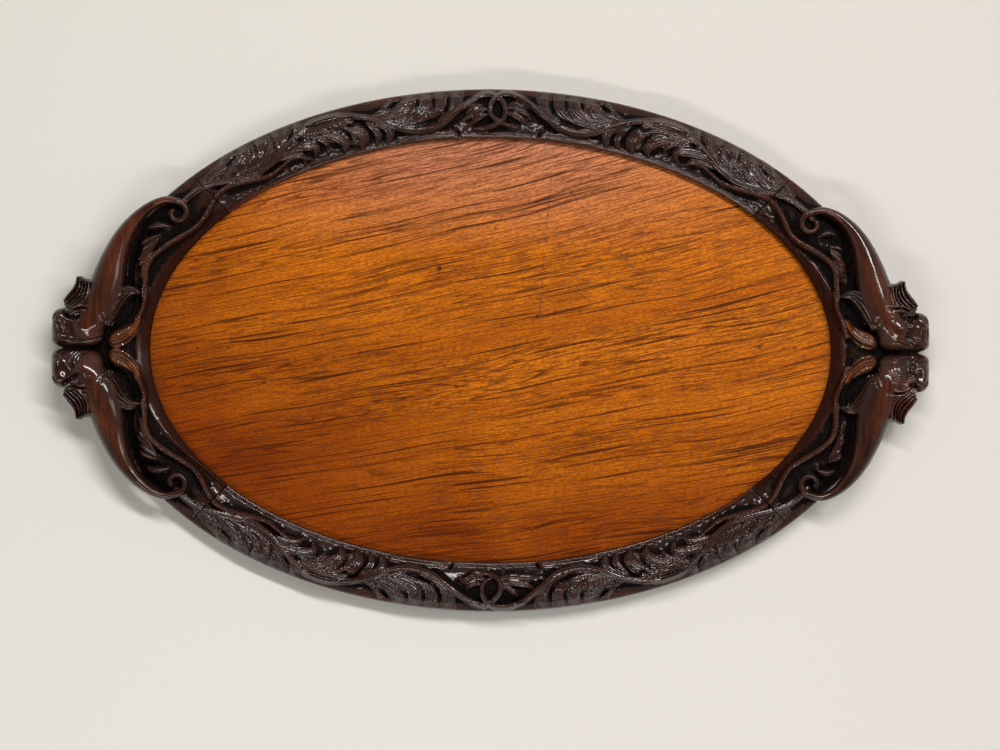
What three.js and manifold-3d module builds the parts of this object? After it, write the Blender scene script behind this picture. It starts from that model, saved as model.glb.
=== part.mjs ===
// Carved oval serving tray: a flat hardwood board framed by four carved rim blocks.
// Each end block carries two horned dolphin heads and two snakes with brass pin eyes.
// Millimetres, +Z up, +X along the tray, origin at the middle of its underside.

import * as THREE from 'three';
import { mergeVertices } from 'three/addons/utils/BufferGeometryUtils.js';
import Module from 'manifold-3d';

const wasm = await Module();
wasm.setup();

// Driving dimensions of the board and the rim
const wellLength = 562;
const wellWidth = 350;
const rimWidthAtEnds = 48.5;
const rimWidthAtSides = 40.7;
const boardThickness = 10;
const boardUnderRim = 16;
const lipAboveBoard = 5;
const crownAboveLip = 9;
const outerEdgeBelowCrown = 11;
const footBevel = 2.5;
const pieceGap = 0.3;

// The four rim blocks meet on 45 degree cuts through this point of the long axis
const jointOffset = 104;

// Slotted countersunk wood screws that hold the board up to the rim
const woodOverScrewTip = 3.5;
const screwHeadDiameter = 8;
const screwShankDiameter = 4;
const screwHeadDepth = 2.6;
const screwSlotWidth = 1.1;
const screwSlotDepth = 1.2;
const screwSink = 0.4;
const screwsPerSide = 3;
const screwsPerEnd = 3;

// Brass pins that are the snakes' eyes
const pinDiameter = 2.2;
const pinLength = 6;
const pinStandsProud = 0.9;
const pinGap = 0.1;

// Heights of the carved figures; the undercut leaves room for fingers below the heads
const headAboveCrown = 13;
const snoutAboveCrown = 12;
const crestAboveCrown = 4;
const snakeHeadDome = 2.2;
const undercutHeight = 7;

// The scroll at the end of each horn, behind the rim's end and out from the long axis
const scrollBehindEnd = 68.9;
const scrollFromAxis = 108.8;
const scrollRadius = 10;

// Smoothness of the faceted forms
const ringStations = 56;
const ovalSegments = 28;
const ribSides = 4;
const bodySides = 7;
const screwSegments = 8;
const pinSegments = 6;

// Each quadrant of the carving is the same drawing, mirrored, with the carver's own drift:
// how far its scroll and its snake head sit from the mean place
const quadrants = [
  { name: 'back_left', sx: -1, sy: 1, scrollDrift: [-2.7, 2.5], snakeDrift: [-1.8, -0.9] },
  { name: 'back_right', sx: 1, sy: 1, scrollDrift: [2.3, -3.6], snakeDrift: [1.8, 0.9] },
  { name: 'front_left', sx: -1, sy: -1, scrollDrift: [-2.7, 1.4], snakeDrift: [-1.8, -0.9] },
  { name: 'front_right', sx: 1, sy: -1, scrollDrift: [3.0, -0.4], snakeDrift: [1.8, 0.9] },
];

// Values that follow from the driving dimensions
const wellA = wellLength / 2;
const wellB = wellWidth / 2;
const middleA = wellA + rimWidthAtEnds / 2;
const middleB = wellB + rimWidthAtSides / 2;
const outerA = wellA + rimWidthAtEnds;
const outerB = wellB + rimWidthAtSides;
const lipHeight = boardThickness + lipAboveBoard;
const crownHeight = lipHeight + crownAboveLip;
const outerEdgeHeight = crownHeight - outerEdgeBelowCrown;
const waistHeight = (undercutHeight + crownHeight + headAboveCrown) / 2.3;
const tall = 4 * crownHeight;
const far = 2 * wellLength;

// Materials
function wood(colour, roughness) {
  return new THREE.MeshStandardMaterial({ color: colour, roughness, metalness: 0 });
}
const boardWood = () => wood(0xb5651d, 0.5);
const rimWood = () => wood(0x3b211b, 0.4);
const brass = () => new THREE.MeshStandardMaterial({ color: 0xd9b36a, roughness: 0.3, metalness: 1 });
const steel = () => new THREE.MeshStandardMaterial({ color: 0x77736c, roughness: 0.5, metalness: 1 });

// Closed geometry from a row of rings; a tube closes on the middle of its end rings,
// a hoop joins its last ring to its first
function loft(rings, hoop = false) {
  const sides = rings[0].length;
  const points = rings.flat();
  const index = [];
  const spans = hoop ? rings.length : rings.length - 1;
  for (let i = 0; i < spans; i++) {
    const here = i * sides;
    const next = ((i + 1) % rings.length) * sides;
    for (let k = 0; k < sides; k++) {
      const j = (k + 1) % sides;
      index.push(here + k, next + k, here + j);
      index.push(here + j, next + k, next + j);
    }
  }
  if (!hoop) {
    const last = (rings.length - 1) * sides;
    const startMiddle = points.push(middleOf(rings[0])) - 1;
    const endMiddle = points.push(middleOf(rings.at(-1))) - 1;
    for (let k = 0; k < sides; k++) {
      const j = (k + 1) % sides;
      index.push(startMiddle, k, j);
      index.push(endMiddle, last + j, last + k);
    }
  }
  const geometry = new THREE.BufferGeometry();
  geometry.setAttribute('position', new THREE.Float32BufferAttribute(points.flatMap((p) => [...p]), 3));
  geometry.setIndex(index);
  return geometry;
}

function middleOf(ring) {
  const middle = new THREE.Vector3();
  ring.forEach((point) => middle.add(point));
  return middle.divideScalar(ring.length);
}

// Boolean work on closed geometries
function toSolid(geometry) {
  const bare = geometry.clone();
  bare.deleteAttribute('normal');
  bare.deleteAttribute('uv');
  const merged = mergeVertices(bare, 1e-4);
  const mesh = new wasm.Mesh({
    numProp: 3,
    vertProperties: new Float32Array(merged.attributes.position.array),
    triVerts: new Uint32Array(merged.index.array),
  });
  return new wasm.Manifold(mesh);
}

function toGeometry(solid) {
  const mesh = solid.getMesh();
  const geometry = new THREE.BufferGeometry();
  geometry.setAttribute('position', new THREE.BufferAttribute(new Float32Array(mesh.vertProperties), 3));
  geometry.setIndex(new THREE.BufferAttribute(new Uint32Array(mesh.triVerts), 1));
  geometry.computeVertexNormals();
  return geometry;
}

const joinAll = (geometries) => geometries.map(toSolid).reduce((whole, piece) => whole.add(piece));

// The rim's plan: distance along its middle line from the middle of a long side (s),
// and the share of its width from the well to the outer edge (u)
const arcSteps = 900;
const arcTable = [0];
for (let i = 1; i <= arcSteps; i++) {
  const a = (Math.PI / 2) * (1 - (i - 0.5) / arcSteps);
  const pace = Math.hypot(middleA * Math.sin(a), middleB * Math.cos(a));
  arcTable.push(arcTable[i - 1] + (pace * Math.PI) / 2 / arcSteps);
}
const quarterLength = arcTable[arcSteps];

function angleAlong(s) {
  const reach = Math.min(Math.max(s, 0), quarterLength);
  const i = Math.min(arcTable.findIndex((length) => length >= reach), arcSteps);
  const before = Math.max(i - 1, 0);
  const part = i === before ? 0 : (reach - arcTable[before]) / (arcTable[i] - arcTable[before]);
  return (Math.PI / 2) * (1 - (before + part) / arcSteps);
}

function rimPlan(angle, u) {
  const x = (wellA + u * rimWidthAtEnds) * Math.cos(angle);
  const y = (wellB + u * rimWidthAtSides) * Math.sin(angle);
  return [x, y];
}

// Height of the rim's domed ground: up from the lip to a crown, then down to the outer edge
function groundHeight(u) {
  const side = Math.min(Math.max(u, 0), 1);
  if (side < 0.5) {
    return lipHeight + (crownHeight - lipHeight) * Math.sin(Math.PI * side);
  }
  return outerEdgeHeight + (crownHeight - outerEdgeHeight) * Math.cos(Math.PI * (side - 0.5));
}

// Tapered stroke through control points [x, y, z, half width, half height], with a ridge on top
function stroke(points, steps, sides) {
  const curve = new THREE.CatmullRomCurve3(points.map(([x, y, z]) => new THREE.Vector3(x, y, z)));
  const rings = [];
  for (let i = 0; i <= steps; i++) {
    const t = i / steps;
    const place = curve.getPoint(t);
    const along = curve.getTangent(t);
    const across = new THREE.Vector3(along.y, -along.x, 0).normalize();
    const [halfWidth, halfHeight] = sizeAt(points, t);
    const ring = [];
    for (let k = 0; k < sides; k++) {
      const turn = Math.PI / 2 + (2 * Math.PI * k) / sides;
      const point = place.clone().addScaledVector(across, halfWidth * Math.cos(turn));
      point.z += halfHeight * Math.sin(turn);
      ring.push(point);
    }
    rings.push(ring);
  }
  return loft(rings);
}

function sizeAt(points, t) {
  const place = t * (points.length - 1);
  const i = Math.min(Math.floor(place), points.length - 2);
  const part = place - i;
  return [3, 4].map((k) => points[i][k] * (1 - part) + points[i + 1][k] * part);
}

// Stroke laid on the rim's ground, through points [s, u, half width, half height]
function rimStroke(quadrant, points, steps, sides = ribSides) {
  const laid = points.map(([s, u, halfWidth, halfHeight]) => {
    const [x, y] = rimPlan(angleAlong(s), u);
    return [x * quadrant.sx, y * quadrant.sy, groundHeight(u), halfWidth, halfHeight];
  });
  return stroke(laid, steps, sides);
}

// Plan of the figures: how far past the rim's end a point lies, and how far from the long axis
function figurePlan(quadrant, out, side) {
  return [(outerA + out) * quadrant.sx, side * quadrant.sy];
}

// Stroke of a figure, through points [out, side, height over the crown, half width, half height]
function figureStroke(quadrant, points, steps, sides = ribSides) {
  const placed = points.map(([out, side, rise, ...size]) => {
    return [...figurePlan(quadrant, out, side), crownHeight + rise, ...size];
  });
  return stroke(placed, steps, sides);
}

// Rounded mass over a plan outline [out, side]: full size at its waist, drawn in above and below
function mound(quadrant, outline, bottom, waist, top, corners) {
  const closed = true;
  const curve = new THREE.CatmullRomCurve3(outline.map(([out, side]) => new THREE.Vector3(out, side, 0)), closed);
  const around = curve.getPoints(corners).slice(0, corners);
  const middle = middleOf(around);
  const levels = [[0.72, bottom], [1, waist], [0.86, waist + 0.68 * (top - waist)], [0.5, top]];
  const rings = levels.map(([share, z]) => around.map((point) => {
    const spot = middle.clone().lerp(point, share);
    return new THREE.Vector3(...figurePlan(quadrant, spot.x, spot.y), z);
  }));
  if (quadrant.sx * quadrant.sy > 0) {
    rings.forEach((ring) => ring.reverse());
  }
  return loft(rings);
}

// Upright prism over an outline, used for the board and for cutting
function prism(shape, bottom, top) {
  const options = { depth: top - bottom, bevelEnabled: false, curveSegments: ovalSegments };
  const geometry = new THREE.ExtrudeGeometry(shape, options);
  geometry.translate(0, 0, bottom);
  return geometry;
}

function oval(a, b) {
  return new THREE.Shape().absellipse(0, 0, a, b, 0, 2 * Math.PI, false, 0);
}

// Rim hoop before it is cut into blocks
function rimHoop() {
  const shares = [0, 0.22, 0.5, 0.8, 1];
  const rings = [];
  for (let i = 0; i < ringStations; i++) {
    const angle = (2 * Math.PI * i) / ringStations;
    const ring = shares.map((u) => new THREE.Vector3(...rimPlan(angle, u), groundHeight(u)));
    const [outX, outY] = rimPlan(angle, 1);
    const [footX, footY] = rimPlan(angle, 1 - footBevel / rimWidthAtEnds);
    const [inX, inY] = rimPlan(angle, 0);
    ring.push(new THREE.Vector3(outX, outY, footBevel));
    ring.push(new THREE.Vector3(footX, footY, 0));
    ring.push(new THREE.Vector3(inX, inY, 0));
    rings.push(ring.reverse());
  }
  return loft(rings, true);
}

// Foliage on the long sides: a waving main stem and the leaves that leave it
function foliage(quadrant) {
  const stem = [
    [3, 0.75, 2.6, 3], [14, 0.93, 3, 3.4], [38, 0.5, 3.4, 4], [62, 0.25, 3.4, 4], [82, 0.3, 3.4, 4],
    [108, 0.66, 3.6, 4.2], [136, 0.85, 3.6, 4], [165, 0.67, 3.4, 4], [205, 0.35, 3.2, 4],
    [240, 0.58, 3.2, 4], [264, 0.7, 3, 3.6],
  ];
  const outerLeaf = [[99, 0.55, 3, 3], [78, 0.5, 5, 3.6], [58, 0.62, 5.4, 3.6], [50, 0.94, 2.4, 2]];
  const innerLeaf = [[166, 0.63, 3, 3], [142, 0.66, 4.6, 3.6], [125, 0.42, 5.4, 3.4], [125, 0.1, 2.4, 2]];
  const sideLeaf = [[238, 0.55, 3, 3], [208, 0.5, 4.8, 3.6], [188, 0.68, 5.2, 3.4], [180, 0.94, 2.4, 2]];
  const leaves = [outerLeaf, innerLeaf, sideLeaf];
  return [rimStroke(quadrant, stem, 18), ...leaves.map((leaf) => rimStroke(quadrant, leaf, 4))];
}

// Linked hooks at the middle of each long side
function centreHooks(sign) {
  const hooks = [];
  for (const way of [-1, 1]) {
    const path = [[-15, 0.74], [-5, 0.9], [6, 0.76], [9, 0.54], [3, 0.36], [-5, 0.38], [-13, 0.2]];
    const laid = path.map(([s, u], i) => {
      const [x, y] = rimPlan(Math.PI / 2 - (way * s) / middleA, u);
      const taper = i === path.length - 1 ? 0.5 : 1;
      return [x, y * sign, groundHeight(u), 2.6 * taper, 3.6 * taper];
    });
    hooks.push(stroke(laid, 8, ribSides));
  }
  return hooks;
}

// Snake: a thin waving body and a leaf-shaped head with a raised middle line
function snakeHeadPlace(quadrant, out, side) {
  return [out + quadrant.snakeDrift[0], side + quadrant.snakeDrift[1]];
}

function snake(quadrant) {
  const body = [
    [370, 0.23, 2.6, 3], [358, 0.21, 2.6, 3.4], [344, 0.29, 2.8, 3.6], [322, 0.43, 2.8, 3.6],
    [300, 0.3, 2.7, 3.6], [281, 0.18, 2.6, 3.4], [262, 0.28, 2.6, 3.4], [241, 0.41, 2.5, 3.2],
    [222, 0.3, 2.4, 3], [203, 0.2, 2.2, 3], [180, 0.3, 1.8, 2.6], [163, 0.15, 0.8, 1.2],
  ];
  const head = [
    [-43.5, 30, -3, 2.4, 3], [-41.5, 22, -2, 3.2, 4], [-35.5, 15, -1, 6, 5], [-27.5, 9.5, 0, 7.4, 5.2],
    [-19.5, 6.2, -1, 6, 4.6], [-13, 3, -2, 2.2, 2.6],
  ];
  const placedHead = head.map(([out, side, ...rest]) => [...snakeHeadPlace(quadrant, out, side), ...rest]);
  return [rimStroke(quadrant, body, 19), figureStroke(quadrant, placedHead, 6, 6)];
}

// Horn: a scroll that uncurls into a tube and swells into the neck of the head
function horn(quadrant) {
  const [driftX, driftY] = quadrant.scrollDrift;
  const scrollOut = driftX - scrollBehindEnd;
  const scrollSide = driftY + scrollFromAxis;
  const points = [];
  const curls = 8;
  for (let i = 0; i <= curls; i++) {
    const turn = -(i / curls) * 1.5 * Math.PI;
    const radius = scrollRadius * (0.52 + 0.48 * (i / curls));
    const out = scrollOut + radius * Math.cos(turn);
    const side = scrollSide + radius * Math.sin(turn);
    points.push([out, side, i / curls - 1, 2.7 + 0.4 * (i / curls), 4.6]);
  }
  const body = [
    [-58.5, 118.6, -1, 3.3, 5, 0.9], [-46.5, 113.5, -2, 4.2, 6.4, 0.7], [-34.5, 102.5, -3, 5.8, 8, 0.45],
    [-25.5, 88.5, -3, 8.2, 9.6, 0.2], [-19.7, 71.5, -3, 12, 11.5, 0], [-15.3, 54, -3, 14.6, 12.8, 0],
    [-10, 40, -2, 15.2, 13.6, 0], [-4, 27, -2, 15.2, 13.5, 0], [1.5, 16.5, -2, 13.6, 13.8, 0],
    [5.5, 10.5, -2, 9, 11, 0],
  ];
  body.forEach(([out, side, rise, halfWidth, halfHeight, share]) => {
    points.push([out + driftX * share, side + driftY * share, rise, halfWidth, halfHeight]);
  });
  return figureStroke(quadrant, points, 22, bodySides);
}

// Head of the horned beast: jaw and cheek, snout, a brow fold and a ribbed crest
function beastHead(quadrant) {
  const jaw = [[-16.5, 4], [1.5, 1.2], [19.5, 1], [27.5, 4.5], [30.1, 10.5], [27.5, 17], [17.5, 30], [6, 35], [-11.5, 24]];
  const snout = [[15.5, 19], [21.5, 15.5], [28.5, 18], [29.9, 24.5], [26.5, 30.5], [21, 32.4], [16.5, 28]];
  const crest = [[-3.5, 48], [0.5, 35], [15.5, 32.5], [18.5, 38.5], [14.5, 45.5], [10, 52], [8.5, 60], [-1.5, 57.5]];
  const forms = [
    mound(quadrant, jaw, undercutHeight, waistHeight, crownHeight + headAboveCrown, 12),
    mound(quadrant, snout, undercutHeight + 2, waistHeight + 2, crownHeight + snoutAboveCrown, 10),
    mound(quadrant, crest, undercutHeight + 4, waistHeight - 2, crownHeight + crestAboveCrown, 10),
    figureStroke(quadrant, [[-2.5, 32, 5, 2, 5], [6.5, 36.2, 8, 2.8, 5.5], [16.5, 31.5, 4, 2, 5]], 4),
  ];
  const ribs = 3;
  for (let i = 0; i < ribs; i++) {
    const across = i / (ribs - 1);
    const rib = [
      [1.5 + 12 * across, 36.5 - across, crestAboveCrown - 3, 2.2, 5],
      [1.5 + 10 * across, 45, crestAboveCrown - 3, 2.2, 5],
      [1 + 6 * across, 57 + 1.5 * across, crestAboveCrown - 4, 1.4, 3.6],
    ];
    forms.push(figureStroke(quadrant, rib, 3));
  }
  return forms;
}

// Gill behind each cheek, and the leaf spray in the bend of the horn
function gillAndSpray(quadrant) {
  const [driftX, driftY] = quadrant.scrollDrift;
  const gill = [[-37.5, 44.5, -2, 1.4, 2.4], [-26.5, 40, 0, 4, 4.6], [-18.5, 29, 1, 5, 5.4], [-13.5, 18, 1, 3, 5]];
  const spray = [
    [driftX - scrollBehindEnd + 1.4, driftY + scrollFromAxis - 1.4 * scrollRadius, -0.6, 1.8, 3],
    [driftX / 2 - scrollBehindEnd + 15.4, driftY / 2 + scrollFromAxis - 2.1 * scrollRadius, -0.6, 4.4, 4.2],
    [-42.5, 75, -0.6, 3.6, 4],
    [-39.5, 58, -0.6, 1.2, 2.4],
  ];
  return [figureStroke(quadrant, gill, 5), figureStroke(quadrant, spray, 6)];
}

// Turned round forms
function turned(profile, segments) {
  const geometry = new THREE.LatheGeometry(profile.map(([r, z]) => new THREE.Vector2(r, z)), segments);
  geometry.rotateX(Math.PI / 2);
  return geometry;
}

const screwTip = groundHeight(boardUnderRim / 2 / rimWidthAtEnds) - woodOverScrewTip;

function screwGeometry() {
  const bottom = screwSink;
  const neck = bottom + screwHeadDepth;
  const tip = screwTip;
  const shank = screwShankDiameter / 2;
  const profile = [[0, bottom], [screwHeadDiameter / 2, bottom], [shank, neck], [shank, tip - shank], [0, tip]];
  const slot = new THREE.BoxGeometry(2 * screwHeadDiameter, screwSlotWidth, 2 * screwSlotDepth);
  slot.translate(0, 0, bottom);
  return toGeometry(toSolid(turned(profile, screwSegments)).subtract(toSolid(slot)));
}

// Hole that the screw fills: a countersink in the board and a blind bore in the rim
function screwHole() {
  const head = screwHeadDiameter / 2 + pieceGap;
  const shank = screwShankDiameter / 2 + pieceGap;
  const neck = screwSink + screwHeadDepth;
  const end = screwTip + pieceGap;
  const profile = [[0, -1], [head, -1], [head, screwSink], [shank, neck], [shank, end], [0, end]];
  return turned(profile, screwSegments);
}

function pinGeometry() {
  const radius = pinDiameter / 2;
  const shoulder = pinLength - 0.6 * radius;
  const profile = [[0, 0], [radius, 0], [radius, shoulder], [0.7 * radius, pinLength - 0.15 * radius], [0, pinLength]];
  return turned(profile, pinSegments);
}

function pinHole() {
  const radius = pinDiameter / 2 + pinGap;
  return turned([[0, -pieceGap], [radius, -pieceGap], [radius, tall], [0, tall]], pinSegments);
}

// Places of the screws: on an oval halfway across the hidden edge of the board
function screwPlaces() {
  const a = wellA + boardUnderRim / 2;
  const b = wellB + boardUnderRim / 2;
  const cornerS = arcTable.findIndex((length, i) => {
    const [x, y] = rimPlan((Math.PI / 2) * (1 - i / arcSteps), 0.5);
    return x - y >= jointOffset;
  });
  const cornerLength = arcTable[cornerS];
  const places = [];
  const addRow = (block, count, from, to, place) => {
    for (let i = 0; i < count; i++) {
      const s = from + ((i + 0.5) / count) * (to - from);
      places.push({ name: `screw_${block}_${i + 1}`, block, ...place(s) });
    }
  };
  const onBack = (s) => {
    const angle = angleAlong(Math.abs(s));
    return { x: Math.sign(s) * a * Math.cos(angle), y: b * Math.sin(angle) };
  };
  const onRight = (s) => {
    const angle = angleAlong(quarterLength - Math.abs(s));
    return { x: a * Math.cos(angle), y: Math.sign(s) * b * Math.sin(angle) };
  };
  const mirror = (place, fx, fy) => (s) => ({ x: fx * place(s).x, y: fy * place(s).y });
  const endReach = quarterLength - cornerLength;
  addRow('back', screwsPerSide, -cornerLength, cornerLength, onBack);
  addRow('front', screwsPerSide, -cornerLength, cornerLength, mirror(onBack, 1, -1));
  addRow('right', screwsPerEnd, -endReach, endReach, onRight);
  addRow('left', screwsPerEnd, -endReach, endReach, mirror(onRight, -1, 1));
  return places;
}

// Places of the pin eyes, two on each snake head
function pinPlaces() {
  const base = crownHeight + snakeHeadDome + pinStandsProud - pinLength;
  return quadrants.flatMap((quadrant) => [[-22.5, 12], [-26, 3.7]].map(([out, side], i) => {
    const [x, y] = figurePlan(quadrant, ...snakeHeadPlace(quadrant, out, side));
    return { name: `snake_eye_${quadrant.name}_${i + 1}`, x, y, z: base };
  }));
}

// Outlines that cut the hoop into blocks; the cuts lie at 45 degrees to the sides
function blockOutlines() {
  const gap = pieceGap / Math.SQRT2;
  const near = jointOffset - gap;
  const end = jointOffset + gap;
  const side = [[-near, 0], [near, 0], [near + far, far], [-near - far, far]];
  const cap = [[end, 0], [end + far, -far], [end + far, far]];
  const outline = (points, fx, fy) => {
    const corners = points.map(([x, y]) => new THREE.Vector2(fx * x, fy * y));
    return new THREE.Shape(fx * fy < 0 ? corners.reverse() : corners);
  };
  return {
    rim_back: outline(side, 1, 1),
    rim_front: outline(side, 1, -1),
    rim_right: outline(cap, 1, 1),
    rim_left: outline(cap, -1, 1),
  };
}

// Assembly
const tray = new THREE.Group();

function addPiece(name, geometry, material, x = 0, y = 0, z = 0) {
  const mesh = new THREE.Mesh(geometry, material);
  mesh.name = name;
  mesh.position.set(x, y, z);
  tray.add(mesh);
}

const screws = screwPlaces();
const pins = pinPlaces();
const screwHoles = screws.map(({ x, y }) => screwHole().translate(x, y, 0));
const pinHoles = pins.map(({ x, y, z }) => pinHole().translate(x, y, z));

const boardShape = oval(wellA + boardUnderRim, wellB + boardUnderRim);
const board = toSolid(prism(boardShape, 0, boardThickness));
addPiece('base_board', toGeometry(board.subtract(joinAll(screwHoles))), boardWood());

const seatReach = boardUnderRim + pieceGap;
const seat = prism(oval(wellA + seatReach, wellB + seatReach), -1, boardThickness + pieceGap);
const carving = quadrants.flatMap((quadrant) => [
  ...foliage(quadrant),
  ...snake(quadrant),
  horn(quadrant),
  ...beastHead(quadrant),
  ...gillAndSpray(quadrant),
]);
const carvedHoop = joinAll([rimHoop(), ...carving, ...centreHooks(1), ...centreHooks(-1)])
  .subtract(joinAll([seat, ...screwHoles, ...pinHoles]));
for (const [name, outline] of Object.entries(blockOutlines())) {
  const block = carvedHoop.intersect(toSolid(prism(outline, -1, tall)));
  addPiece(name, toGeometry(block), rimWood());
}

pins.forEach(({ name, x, y, z }) => addPiece(name, pinGeometry(), brass(), x, y, z));
screws.forEach(({ name, x, y }) => addPiece(name, screwGeometry(), steel(), x, y, 0));

export default tray;
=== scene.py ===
# Carved wooden tray: an oval hardwood board in a rim of four carved blocks, seen from above.
from math import cos, hypot, pi, radians, sin, sqrt

import bpy
import numpy as np
import openvdb
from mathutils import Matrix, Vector


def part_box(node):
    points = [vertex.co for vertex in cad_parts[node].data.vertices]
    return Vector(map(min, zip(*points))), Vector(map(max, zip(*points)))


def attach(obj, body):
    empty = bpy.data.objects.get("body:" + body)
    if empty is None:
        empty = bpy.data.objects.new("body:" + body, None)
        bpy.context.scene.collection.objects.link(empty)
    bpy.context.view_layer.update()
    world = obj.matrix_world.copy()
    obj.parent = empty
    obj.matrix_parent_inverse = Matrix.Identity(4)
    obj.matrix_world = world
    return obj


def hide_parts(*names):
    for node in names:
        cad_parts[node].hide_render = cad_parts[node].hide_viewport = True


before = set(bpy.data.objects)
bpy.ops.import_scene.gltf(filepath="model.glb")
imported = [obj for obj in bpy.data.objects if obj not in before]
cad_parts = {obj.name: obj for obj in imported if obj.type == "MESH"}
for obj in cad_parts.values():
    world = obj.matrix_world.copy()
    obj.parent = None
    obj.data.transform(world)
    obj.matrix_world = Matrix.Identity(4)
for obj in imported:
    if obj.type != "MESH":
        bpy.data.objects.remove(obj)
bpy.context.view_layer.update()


# Board: one flat oval of open-grained orange-brown hardwood, waxed, with its grain along the
# tray. It is sawn and planed, drilled for the screws, and stays as the frame has it.

class Shade:
    """A node's output that can be used in sums, and a maker of the nodes that follow it."""

    def __init__(self, tree, socket):
        self.tree = tree
        self.socket = socket

    def node(self, kind, settings=None, values=None, output=0):
        made = self.tree.nodes.new(kind)
        for name, value in (settings or {}).items():
            setattr(made, name, value)
        for name, value in (values or {}).items():
            if isinstance(value, Shade):
                self.tree.links.new(value.socket, made.inputs[name])
            else:
                made.inputs[name].default_value = value
        return Shade(self.tree, made.outputs[output])

    def maths(self, operation, first, second=0.0):
        return self.node("ShaderNodeMath", {"operation": operation}, {0: first, 1: second})

    def __add__(self, other):
        return self.maths("ADD", self, other)

    def __sub__(self, other):
        return self.maths("SUBTRACT", self, other)

    def __rsub__(self, other):
        return self.maths("SUBTRACT", other, self)

    def __mul__(self, other):
        return self.maths("MULTIPLY", self, other)

    def __truediv__(self, other):
        return self.maths("DIVIDE", self, other)

    def __pow__(self, other):
        return self.maths("POWER", self, other)

    def clipped(self):
        return self.node("ShaderNodeClamp", {}, {"Value": self})

    def between(self, low, high, to_low=0.0, to_high=1.0):
        values = {"Value": self, "From Min": low, "From Max": high, "To Min": to_low, "To Max": to_high}
        return self.node("ShaderNodeMapRange", {"clamp": True}, values)

    def blend(self, first, second):
        """From the first colour to the second, as this share goes from 0 to 1."""
        settings = {"data_type": "RGBA", "clamp_factor": True}
        return self.node("ShaderNodeMix", settings, {0: self, 6: colour_of(first), 7: colour_of(second)}, 2)

    def noise(self, scale, detail=3.0, roughness=0.5, distortion=0.0):
        values = {"Vector": self, "Scale": scale, "Detail": detail, "Roughness": roughness, "Distortion": distortion}
        return self.node("ShaderNodeTexNoise", {}, values)

    def stretched(self, x, y, z, turn=0.0):
        values = {"Vector": self, "Scale": (x, y, z), "Rotation": (0, 0, turn)}
        return self.node("ShaderNodeMapping", {}, values)

    def apart(self):
        """The x, y and z of a vector."""
        parts = self.node("ShaderNodeSeparateXYZ", {}, {0: self}).socket.node.outputs
        return [Shade(self.tree, part) for part in parts]


def colour_of(value):
    return value if isinstance(value, Shade) else (*value, 1)


def finish(name):
    """A new material with one main shader: gives the material, that shader and a start for its sums."""
    material = bpy.data.materials.new(name)
    material.use_nodes = True
    tree = material.node_tree
    shader = tree.nodes["Principled BSDF"]
    place = tree.nodes.new("ShaderNodeTexCoord")
    return material, shader, Shade(tree, place.outputs["Object"])


def add_object(name, data):
    made = bpy.data.objects.new(name, data)
    bpy.context.scene.collection.objects.link(made)
    return made


def feed(shader, **inputs):
    for name, value in inputs.items():
        socket = shader.inputs[name.replace("_", " ")]
        if isinstance(value, Shade):
            value.tree.links.new(value.socket, socket)
        else:
            socket.default_value = value


board_wood, board_shader, place = finish("board_wood")
along, across, _ = place.apart()
wander = place.stretched(1, 1.6, 1).noise(7.0, 1.0)
level = across - along * (across * 0.35 + 0.195) + (wander - 0.5) * 0.012
bent = place.node("ShaderNodeCombineXYZ", {}, {0: along, 1: level, 2: 0.0})


def fibres(x, y, detail=1.0, roughness=0.5, distortion=0.0, turn=0.0):
    """Noise drawn out along the grain: x and y are how often it changes along and across it."""
    return bent.stretched(x, y, 1, turn).noise(1.0, detail, roughness, distortion)


# Marks of the wood, from the finest to the widest
pores = fibres(60, 860)
specks = fibres(280, 880, turn=0.02)
streaks = fibres(17, 560)
long_lines = fibres(7, 400, turn=-0.004)
rings = fibres(1.1, 26, 1.6, 0.55, 0.2)
ring_count = rings * 13.0
ring_line = ring_count.maths("FRACT", ring_count).between(0.10, 0.02)
fine_count = rings * 42.0 + fibres(4, 110) * 6.0
fine_line = fine_count.maths("FRACT", fine_count).between(0.42, 0.12)
bands = fibres(2.2, 34, 3.0, 0.6, 0.3)
clouds = place.noise(6.0, 3.0, 0.55)

# Where those marks show, and where the painted sheen and shade go, as shares from 0 to 1
drawn = fibres(9, 150, 2.0).between(0.40, 0.54)
breaks = fibres(8, 60, 2.0).between(0.42, 0.58)
busy = fibres(3, 22, 2.0).between(0.38, 0.58, 0.12, 1.0)
from_middle = (along * along) * 11.0 + (across * across) * 26.0
# Painted sheen: a pale pinkish patch near the middle of the back edge, where the window lamp's reflection lies
painted_sheen = across.between(0.08, 0.17) * (along * along).between(0.05, 0.004) * 0.72
# Painted shade: the board darkens all round its edge, where the rim's shadow falls on it
rim_shade = from_middle.between(0.80, 1.0) * 0.6

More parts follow.
